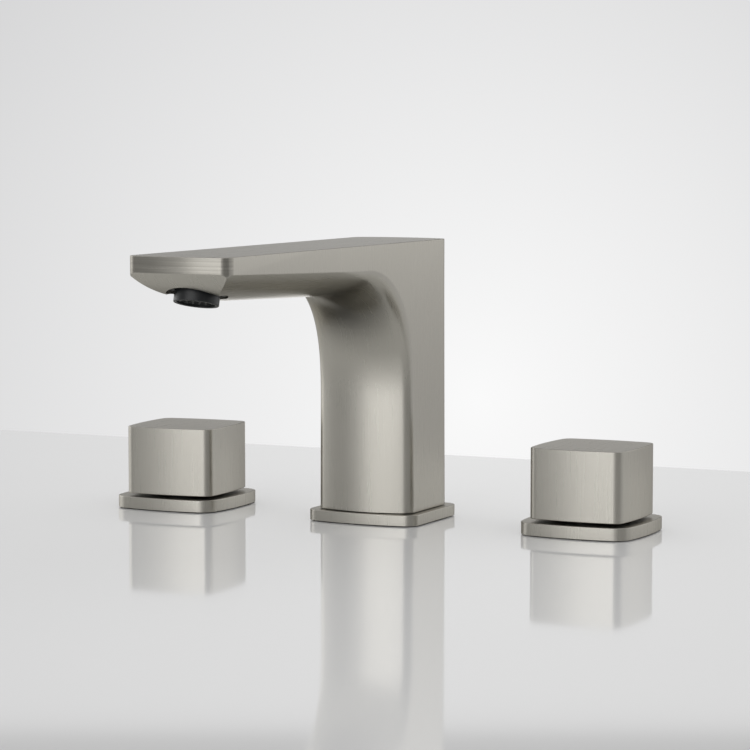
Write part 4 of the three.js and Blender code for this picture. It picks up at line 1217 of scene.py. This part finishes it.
def valve_body(name, place):
    """The turned body with its side outlet, bored up to the seat, and a second way down to the outlet."""
    foot = [(0, inlet_end), (9.3, inlet_end), (inlet_root, inlet_thread[0])]
    block = [(inlet_root, inlet_thread[1]), (inlet_radius, inlet_thread[1] + thread_depth),
             (inlet_radius, block_bottom), (block_radius - block_edge, block_bottom),
             (block_radius, block_bottom + block_edge), (block_radius, block_top - block_edge),
             (block_radius - block_edge, block_top), (neck_root, block_top), (neck_root, neck_thread[0])]
    mouth_chain = [(neck_root, neck_thread[1]), (neck_root, neck_top), (0, neck_top)]
    body = threaded([foot, block, mouth_chain], [
        (inlet_root, inlet_radius, pipe_pitch, *inlet_thread),
        (neck_root, neck_radius, thread_pitch, *neck_thread)], name, place)
    along = place @ raised(outlet_height) @ Matrix.Rotation(QUARTER, 4, "Y")
    root_chain = [(0, 2), (outlet_radius, 2), (outlet_radius, 16.8), (outlet_root, outlet_thread[0])]
    end_chain = [(outlet_root, outlet_thread[1]), (outlet_root - 0.5, outlet_end), (0, outlet_end)]
    outlet = threaded([root_chain, end_chain], [(outlet_root, outlet_radius, pipe_pitch, *outlet_thread)],
                      "outlet", along)
    combined("UNION", body, [outlet])
    bore = turned([
        (0, inlet_end - overrun), (inlet_bore, inlet_end - overrun), (inlet_bore, block_bottom),
        (riser_bore, block_bottom), (riser_bore, seat), (chamber_bore, seat),
        (chamber_bore, neck_top + overrun), (0, neck_top + overrun)], "bore", place, VALVE_BORE_STEPS)
    passage = rod(passage_bore, outlet_height, seat + overrun,
                  place @ Matrix.Translation((passage_x, 0, 0)), PASSAGE_STEPS)
    combined("UNION", passage, [rod(outlet_bore, 6.5, outlet_end + overrun, along, SMALL_STEPS)])
    return cut(body, bore, passage)


def moved(piece, place):
    """Moves a finished mesh by a place in millimetres."""
    piece.data.transform(Matrix.Scale(MM, 4) @ place @ Matrix.Scale(1 / MM, 4))
    return piece


for side in ("cold", "hot"):
    place = fixed_place(side)
    cast_place = fixed_place("cold")
    casting = moved(valve_body(f"{side}_valve_casting", cast_place), place @ cast_place.inverted())
    stands_for(casting, turned_brass, f"{side}_valve_body")
    lock_bottom = gasket_proud + knob_plate_thickness
    lock_ring = tube(f"{side}_plate_ring", neck_radius + clearance, ring_outer, lock_bottom,
                     lock_bottom + ring_height, mould_edge, place)
    cut(lock_ring, grown(cutter_ring, place @ raised(lock_bottom + ring_height / 2), count=4, circle=16.7,
                         sides=4, length=2.6, width=4, height=8))
    stands_for(lock_ring, black_acetal, f"{side}_lock_ring")

# Cartridges. A turned brass housing drops into each valve and holds two alumina discs on a rubber seal.
# A splined stem turns the upper disc over the lower one, and a white sleeve on it carries the knob.

hot_turn = radians(4.4)
disc_radius = 6.6
disc_height = 3
lower_disc_bottom = -16.9
upper_disc_bottom = -13.8
housing_groove = 8.3
groove_bottom, groove_top = 7, 9
housing_radius = 9.7
housing_waist = 8.4
housing_foot = -19.4
housing_edge = 0.3
shoulder = -4
housing_flats = 19
hexagon_top = 17
disc_chamber = disc_radius + clearance
chamber_top = -7.7
foot_seal_bore = 5.2
stem_bore = 4.3
port_outer, port_inner = 4.6, 2
port_reach = radians(40)
PORT_STEPS = 12
stem_foot = -10.5
stem_flange_radius = 6.2
stem_flange_top = -8
stem_radius = 4
stem_top = 33
stem_edge = 0.5
driver_half, driver_reach = 1.3, 6.05
driver_bottom = -11.9
slot_reach = 6.5
slot_bottom = -12.5
spline_teeth = 12
sleeve_outer = 6
sleeve_bottom = 19.7
sleeve_top = 34.3
screw_height = 24.9
screw_root, screw_radius, screw_pitch, screw_length = 1.6, 2, 0.7, 4
screw_thread = (0.4, 3.8)
screw_start = 6.3
key_flats = 2


def moving_place(side):
    """The stem's axis. The hot knob rests a few degrees round, as it was left."""
    turn = hot_turn if side == "hot" else 0
    return axis_of(f"{side}_cartridge_stem") @ Matrix.Rotation(turn, 4, "Z")


def port_plan(side):
    """One opening of a disc: a sector of a ring, to the right of the axis or, where side is -1, the left."""
    arc = [lerp(-port_reach, port_reach, i / PORT_STEPS) for i in range(PORT_STEPS + 1)]
    outer = [(side * port_outer * cos(a), port_outer * sin(a)) for a in arc]
    return outer + [(side * port_inner * cos(a), port_inner * sin(a)) for a in reversed(arc)]


def ceramic_disc(name, bottom, place):
    """A disc with two openings, one on each side of its axis."""
    top = bottom + disc_height
    profile = [(0, bottom), (disc_radius - fine_edge, bottom), (disc_radius, bottom + fine_edge),
               (disc_radius, top - fine_edge), (disc_radius - fine_edge, top), (0, top)]
    disc = turned(profile, name, place)
    for side in (-1, 1):
        cut(disc, moved(prism(port_plan(side), bottom - overrun, top + overrun), place))
    return disc


def bar(half_x, half_y, bottom, top, place):
    """The driver across the stem's foot, or the slot that it fits."""
    outline = [(half_x, -half_y), (half_x, half_y), (-half_x, half_y), (-half_x, -half_y)]
    return moved(prism(outline, bottom, top), place)


# Alumina, pressed, fired and lapped: a creamy white with an almost polished face.
alumina = moulded("lapped_alumina", "#e2dfd6", "#efede6", 0.3, 0.16, 1.76)
for side in ("hot", "cold"):
    place = fixed_place(side)
    levels = circle_levels(
        (housing_waist - fine_edge, housing_foot), (housing_waist, housing_foot + fine_edge),
        (housing_waist, shoulder), (housing_radius - housing_edge, shoulder),
        (housing_radius, shoulder + housing_edge), (housing_radius, groove_bottom),
        (housing_groove, groove_bottom), (housing_groove, groove_top), (housing_radius, groove_top),
        (housing_radius, neck_top))
    levels += hex_levels(housing_flats, neck_top, hexagon_top)
    levels += circle_levels(
        (stem_bore + housing_edge, hexagon_top), (stem_bore, hexagon_top - housing_edge),
        (stem_bore, chamber_top), (disc_chamber, chamber_top), (disc_chamber, housing_foot + fine_edge),
        (disc_chamber + fine_edge, housing_foot))
    housing = stacked(levels, f"{side}_cartridge_housing", place)
    cut(housing, grown(cutter_ring, place @ raised(-10.5), count=2, circle=7.65, sides=4, length=4, width=5,
                       height=5))
    stands_for(housing, turned_brass, f"{side}_cartridge_body")
    seal_ring(f"{side}_cartridge_ring", f"{side}_cartridge_oring", housing_groove, place)
    foot_seal = tube(f"{side}_disc_seal", foot_seal_bore, disc_radius, seat, lower_disc_bottom, mould_edge,
                     place)
    stands_for(foot_seal, nitrile_rubber, f"{side}_cartridge_seal")
    lower = ceramic_disc(f"{side}_lower_disc", lower_disc_bottom, place)
    stands_for(lower, alumina, f"{side}_fixed_disc")

    place = moving_place(side)
    rider = f"{side}_knob"
    upper = ceramic_disc(f"{side}_upper_disc", upper_disc_bottom, place)
    slot_top = upper_disc_bottom + disc_height + overrun
    cut(upper, bar(driver_half + clearance, slot_reach, slot_bottom, slot_top, place))
    stands_for(upper, alumina, f"{side}_moving_disc", rider)
    stem_profile = [
        (0, stem_foot), (stem_flange_radius - fine_edge, stem_foot),
        (stem_flange_radius, stem_foot + fine_edge), (stem_flange_radius, stem_flange_top - fine_edge),
        (stem_flange_radius - fine_edge, stem_flange_top), (stem_radius, stem_flange_top),
        (stem_radius, stem_top - stem_edge), (stem_radius - stem_edge, stem_top), (0, stem_top)]
    stem = turned(stem_profile, f"{side}_splined_stem", place)
    combined("UNION", stem, [bar(driver_half, driver_reach, driver_bottom, stem_foot + clearance, place)])
    groove_turn = Matrix.Rotation(pi / spline_teeth, 4, "Z")
    cut(stem, grown(cutter_ring, place @ raised(27.5) @ groove_turn, count=spline_teeth, circle=4.05, sides=4,
                    length=1, width=0.9, height=13))
    stands_for(stem, turned_brass, f"{side}_cartridge_stem", rider)
    sleeve = tube(f"{side}_stem_sleeve", stem_bore, sleeve_outer, sleeve_bottom, sleeve_top, chamfer, place)
    stands_for(sleeve, white_acetal, f"{side}_stem_adapter", rider)
    along = place @ lying(screw_height, screw_start)
    point_chain = [(0, 0), (1.2, 0), (screw_root, screw_thread[0])]
    end_chain = [(screw_root, screw_thread[1]), (screw_root, screw_length), (0, screw_length)]
    screw = threaded([point_chain, end_chain], [(screw_root, screw_radius, screw_pitch, *screw_thread)],
                     f"{side}_grub_screw", along)
    cut(screw, moved(prism(hex_plan(key_flats), screw_length / 2, screw_length + overrun), along))
    stands_for(screw, stainless_steel, f"{side}_set_screw", rider)

# Knobs. Hollow square caps die-cast in zinc, plated and brushed, with crisp edges. A boss inside takes
# the stem, and a small hole in the back wall lets a hex key reach the set screw.

knob_half = 22.7
knob_bow = 130
knob_knuckle = 4.6
knob_wall = 2.6
knob_roof = 3.2
boss_radius = 10.5
boss_bore = 6.3
boss_length = 15.4
adapter_gap = 0.6
access_radius = 2.6
screw_hole = 2.3
knob_bottom = millimetres(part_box("hot_handle")[0].z)
knob_top = millimetres(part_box("hot_handle")[1].z)


def knob_plan(inset):
    return cushion_plan(knob_half, knob_bow, knob_knuckle, inset)


def knob_cap(name, place):
    """Up the boss's bore, down its outside, along the roof and the wall, and over the top."""
    outline = knob_plan(0)
    roof_bottom = knob_top - knob_roof
    boss_bottom = roof_bottom - boss_length
    bore_top = roof_bottom - adapter_gap + clearance
    levels = circles(outline, (1, bore_top), (boss_bore, bore_top), (boss_bore, boss_bottom),
                     (boss_radius, boss_bottom), (boss_radius, roof_bottom))
    levels += [(knob_plan(knob_wall), roof_bottom), (knob_plan(knob_wall), knob_bottom)]
    levels += side_levels(knob_plan, knob_bottom, rim_round, knob_top, rim_round)
    levels += circles(outline, (knob_half / 2, knob_top))
    cap = stacked(levels, name, place, False)
    across = place @ lying(screw_height)
    bore = rod(screw_hole, 0, boss_radius + overrun, across, SMALL_STEPS)
    access = rod(access_radius, boss_radius + overrun, knob_half + overrun, across, SMALL_STEPS)
    return cut(cap, bore, access)


knob_nickel = brushed_nickel("brushed_nickel_knobs", NEVER_LEVEL)
for side in ("hot", "cold"):
    cap = knob_cap(f"{side}_knob_cap", moving_place(side))
    stands_for(cap, knob_nickel, f"{side}_handle", f"{side}_knob")

# Deck, light and camera. The deck is a pale glossy top that ends behind the faucet. A wide soft box
# lights it from the front, and dark and bright cards beside and behind it, which only reflections show,
# shade the metal.

DECK_BACK = 0.236
DECK_FRONT = -2.2
DECK_SIDE = 3.0
# Glazed, with a hard smooth shine and hardly any pattern.
DECK_LIGHT = "#ececec"
DECK_DARK = "#e8e8e8"
DECK_CLOUDS_PER_METRE = 3.0
DECK_ROUGHNESS = 0.06
DECK_IOR = 1.33
# What metal shows of the deck: nearly black in the spout's shade, pale further off and at a low slant.
DECK_SHADED = "#060606"
DECK_STEEP = "#dcdcda"
DECK_SHALLOW = "#dadad8"
SHADE_MIDDLE = Vector((-64, 15, 0)) * MM
SHADE = (30 * MM, 145 * MM)
SLANT = (0.08, 0.7)


def deck_material():
    material, tree = new_material("glazed_deck")
    place = add_node(tree, "ShaderNodeTexCoord").outputs["Object"]
    noise = add_node(tree, "ShaderNodeTexNoise", {
        "Vector": place, "Scale": DECK_CLOUDS_PER_METRE, "Detail": 2.0})
    colour = add_node(tree, "ShaderNodeMix", {
        "Factor": noise, 6: linear(DECK_DARK), 7: linear(DECK_LIGHT)}, data_type="RGBA")
    slant = add_node(tree, "ShaderNodeLayerWeight", {"Blend": 0.5})
    shallow = add_node(tree, "ShaderNodeMapRange", {
        "Value": slant.outputs["Facing"], "From Min": SLANT[0], "From Max": SLANT[1]})
    away = add_node(tree, "ShaderNodeVectorMath", {0: place, 1: SHADE_MIDDLE}, operation="DISTANCE")
    lit = add_node(tree, "ShaderNodeMapRange", {"Value": away, "From Min": SHADE[0], "From Max": SHADE[1]})
    steep = add_node(tree, "ShaderNodeMix", {
        "Factor": lit, 6: linear(DECK_SHADED), 7: linear(DECK_STEEP)}, data_type="RGBA")
    in_metal = add_node(tree, "ShaderNodeMix", {
        "Factor": shallow, 6: steep, 7: linear(DECK_SHALLOW)}, data_type="RGBA")
    ray = add_node(tree, "ShaderNodeLightPath")
    seen = add_node(tree, "ShaderNodeMix", {
        "Factor": ray.outputs["Is Glossy Ray"], 6: colour, 7: in_metal}, data_type="RGBA")
    shader = add_node(tree, "ShaderNodeBsdfPrincipled", {
        "Base Color": seen, "Roughness": DECK_ROUGHNESS, "IOR": DECK_IOR})
    add_node(tree, "ShaderNodeOutputMaterial", {"Surface": shader})
    return material


def plane(name, corners, material):
    """A flat sheet that is part of the setting, not of the object."""
    data = bpy.data.meshes.new(name)
    data.from_pydata(corners, [], [(0, 1, 2, 3)])
    data.materials.append(material)
    made = in_scene(name, data)
    return made


plane("deck", [(-DECK_SIDE, DECK_FRONT, 0), (DECK_SIDE, DECK_FRONT, 0), (DECK_SIDE, DECK_BACK, 0),
               (-DECK_SIDE, DECK_BACK, 0)], deck_material())


def bearing(degrees, distance, height):
    """A place round the faucet: 0 degrees is straight in front, 90 to the right."""
    angle = radians(degrees)
    return Vector((distance * sin(angle), -distance * cos(angle), height))


# A flat lamp of even radiance that faces the faucet from the front.
BOX_WIDTH = 1.7
BOX_HEIGHT = 1.3
BOX_RADIANCE = 1.3
BOX_PLACE = bearing(-2, 2.3, 0.55)
AIM = Vector((0, -0.05, 0.06))
light = bpy.data.lights.new("front_box", "AREA")
light.shape = "RECTANGLE"
light.size, light.size_y = BOX_WIDTH, BOX_HEIGHT
light.energy = BOX_RADIANCE * pi * BOX_WIDTH * BOX_HEIGHT
lamp = in_scene("front_box", light)
lamp.location = BOX_PLACE
lamp.rotation_euler = (AIM - lamp.location).to_track_quat("-Z", "Y").to_euler()
lamp.visible_camera = False

SURROUNDINGS = 0.62


def flag(name, degrees, distance, bottom, top, width, radiance, full_share):
    """An upright card that only reflections show. It fades into its surroundings towards its sides."""
    material, tree = new_material(name)
    centre = bearing(degrees, distance, 0)
    place = add_node(tree, "ShaderNodeTexCoord").outputs["Object"]
    flat = add_node(tree, "ShaderNodeVectorMath", {0: place, 1: (1, 1, 0)}, operation="MULTIPLY")
    off = add_node(tree, "ShaderNodeVectorMath", {0: flat, 1: centre}, operation="DISTANCE")
    level = add_node(tree, "ShaderNodeMapRange", {
        "Value": off, "From Min": full_share * width / 2, "From Max": width / 2,
        "To Min": radiance, "To Max": SURROUNDINGS}, interpolation_type="SMOOTHSTEP")
    shader = add_node(tree, "ShaderNodeEmission", {"Strength": level})
    add_node(tree, "ShaderNodeOutputMaterial", {"Surface": shader})
    across = bearing(degrees + 90, width / 2, 0)
    low, high = Vector((0, 0, bottom)), Vector((0, 0, top))
    card = plane(name, [centre - across + low, centre + across + low, centre + across + high,
                        centre - across + high], material)
    card.visible_camera = False
    card.visible_diffuse = False
    card.visible_shadow = False


# Each has its bearing, distance, bottom, top, width, radiance, and the share of its width that keeps it.
flag("left_flag", -47, 2.1, 0, 1.5, 1.05, 0.3, 0.75)
flag("right_flag", 66, 2.1, 0, 1.5, 2.75, 0.216, 0.8)
flag("back_flag", -154, 2.5, 0.64, 1.15, 3.0, 0.005, 0.9)
flag("left_card", -96, 2.1, 0, 1.5, 3.1, 1.65, 0.3)
flag("side_card", 150, 2.3, 0, 1.0, 1.9, 1.05, 0.4)
flag("low_card", -156, 2.5, -0.7, -0.15, 1.6, 2.2, 0.5)

# The backdrop glows softly behind the faucet, and light from everywhere else is even. In reflections what
# is above the horizon mirrors what is below it, so that metal shows the glow from both.
GLOW = Vector((-0.4056, 0.9089, -0.0968)).normalized()
GLOW_SIZE = 0.26
GLOW_COLOUR = "#fafafa"
BACKDROP_COLOUR = "#cfcfd0"
EVEN_LIGHT = "#e4e4e4"
world = bpy.data.worlds.new("studio")
bpy.context.scene.world = world
world.use_nodes = True
studio = world.node_tree
studio.nodes.clear()
direction = add_node(studio, "ShaderNodeTexCoord")
ray = add_node(studio, "ShaderNodeLightPath")
bearings = add_node(studio, "ShaderNodeSeparateXYZ", {"Vector": direction.outputs["Generated"]})
rise = add_node(studio, "ShaderNodeMath", {0: bearings.outputs["Z"]}, operation="ABSOLUTE")
dip = add_node(studio, "ShaderNodeMath", {0: rise, 1: -1.0}, operation="MULTIPLY")
height = add_node(studio, "ShaderNodeMix", {
    "Factor": ray.outputs["Is Glossy Ray"], 2: bearings.outputs["Z"], 3: dip})
folded = add_node(studio, "ShaderNodeCombineXYZ", {
    "X": bearings.outputs["X"], "Y": bearings.outputs["Y"], "Z": height})
towards = add_node(studio, "ShaderNodeVectorMath", {0: folded, 1: GLOW}, operation="DOT_PRODUCT")
off_glow = add_node(studio, "ShaderNodeMath", {0: towards}, operation="ARCCOSINE")
fall = add_node(studio, "ShaderNodeMapRange", {"Value": off_glow, "From Min": 0.0, "From Max": GLOW_SIZE})
backdrop = add_node(studio, "ShaderNodeMix", {
    "Factor": fall, 6: linear(GLOW_COLOUR), 7: linear(BACKDROP_COLOUR)}, data_type="RGBA")
camera_or_glossy = add_node(studio, "ShaderNodeMath", {
    0: ray.outputs["Is Camera Ray"], 1: ray.outputs["Is Glossy Ray"]}, operation="MAXIMUM")
seen = add_node(studio, "ShaderNodeMath", {
    0: camera_or_glossy, 1: ray.outputs["Is Transmission Ray"]}, operation="MAXIMUM")
shown = add_node(studio, "ShaderNodeMix", {
    "Factor": seen, 6: linear(EVEN_LIGHT), 7: backdrop}, data_type="RGBA")
sky = add_node(studio, "ShaderNodeBackground", {"Color": shown, "Strength": 1.0})
add_node(studio, "ShaderNodeOutputWorld", {"Surface": sky})

bpy.context.scene.view_settings.view_transform = 'Standard'

# The camera stands where the picture was taken: turned 26 degrees to the right of straight in front,
# looking 5 degrees down, with a long lens.
IMAGE_SIDE = 750
FOCAL_PIXELS = 2866.1
TURN = 26.124
PITCH = 5.064
CAMERA_PLACE = Vector((563.22, -1156.41, 178.83)) * MM
camera_data = bpy.data.cameras.new("camera")
camera_data.sensor_width = 36
camera_data.lens = camera_data.sensor_width * FOCAL_PIXELS / IMAGE_SIDE
camera_data.clip_end = 100
camera = in_scene("camera", camera_data)
camera.location = CAMERA_PLACE
camera.rotation_euler = (QUARTER - radians(PITCH), 0, radians(TURN))
bpy.context.scene.camera = camera
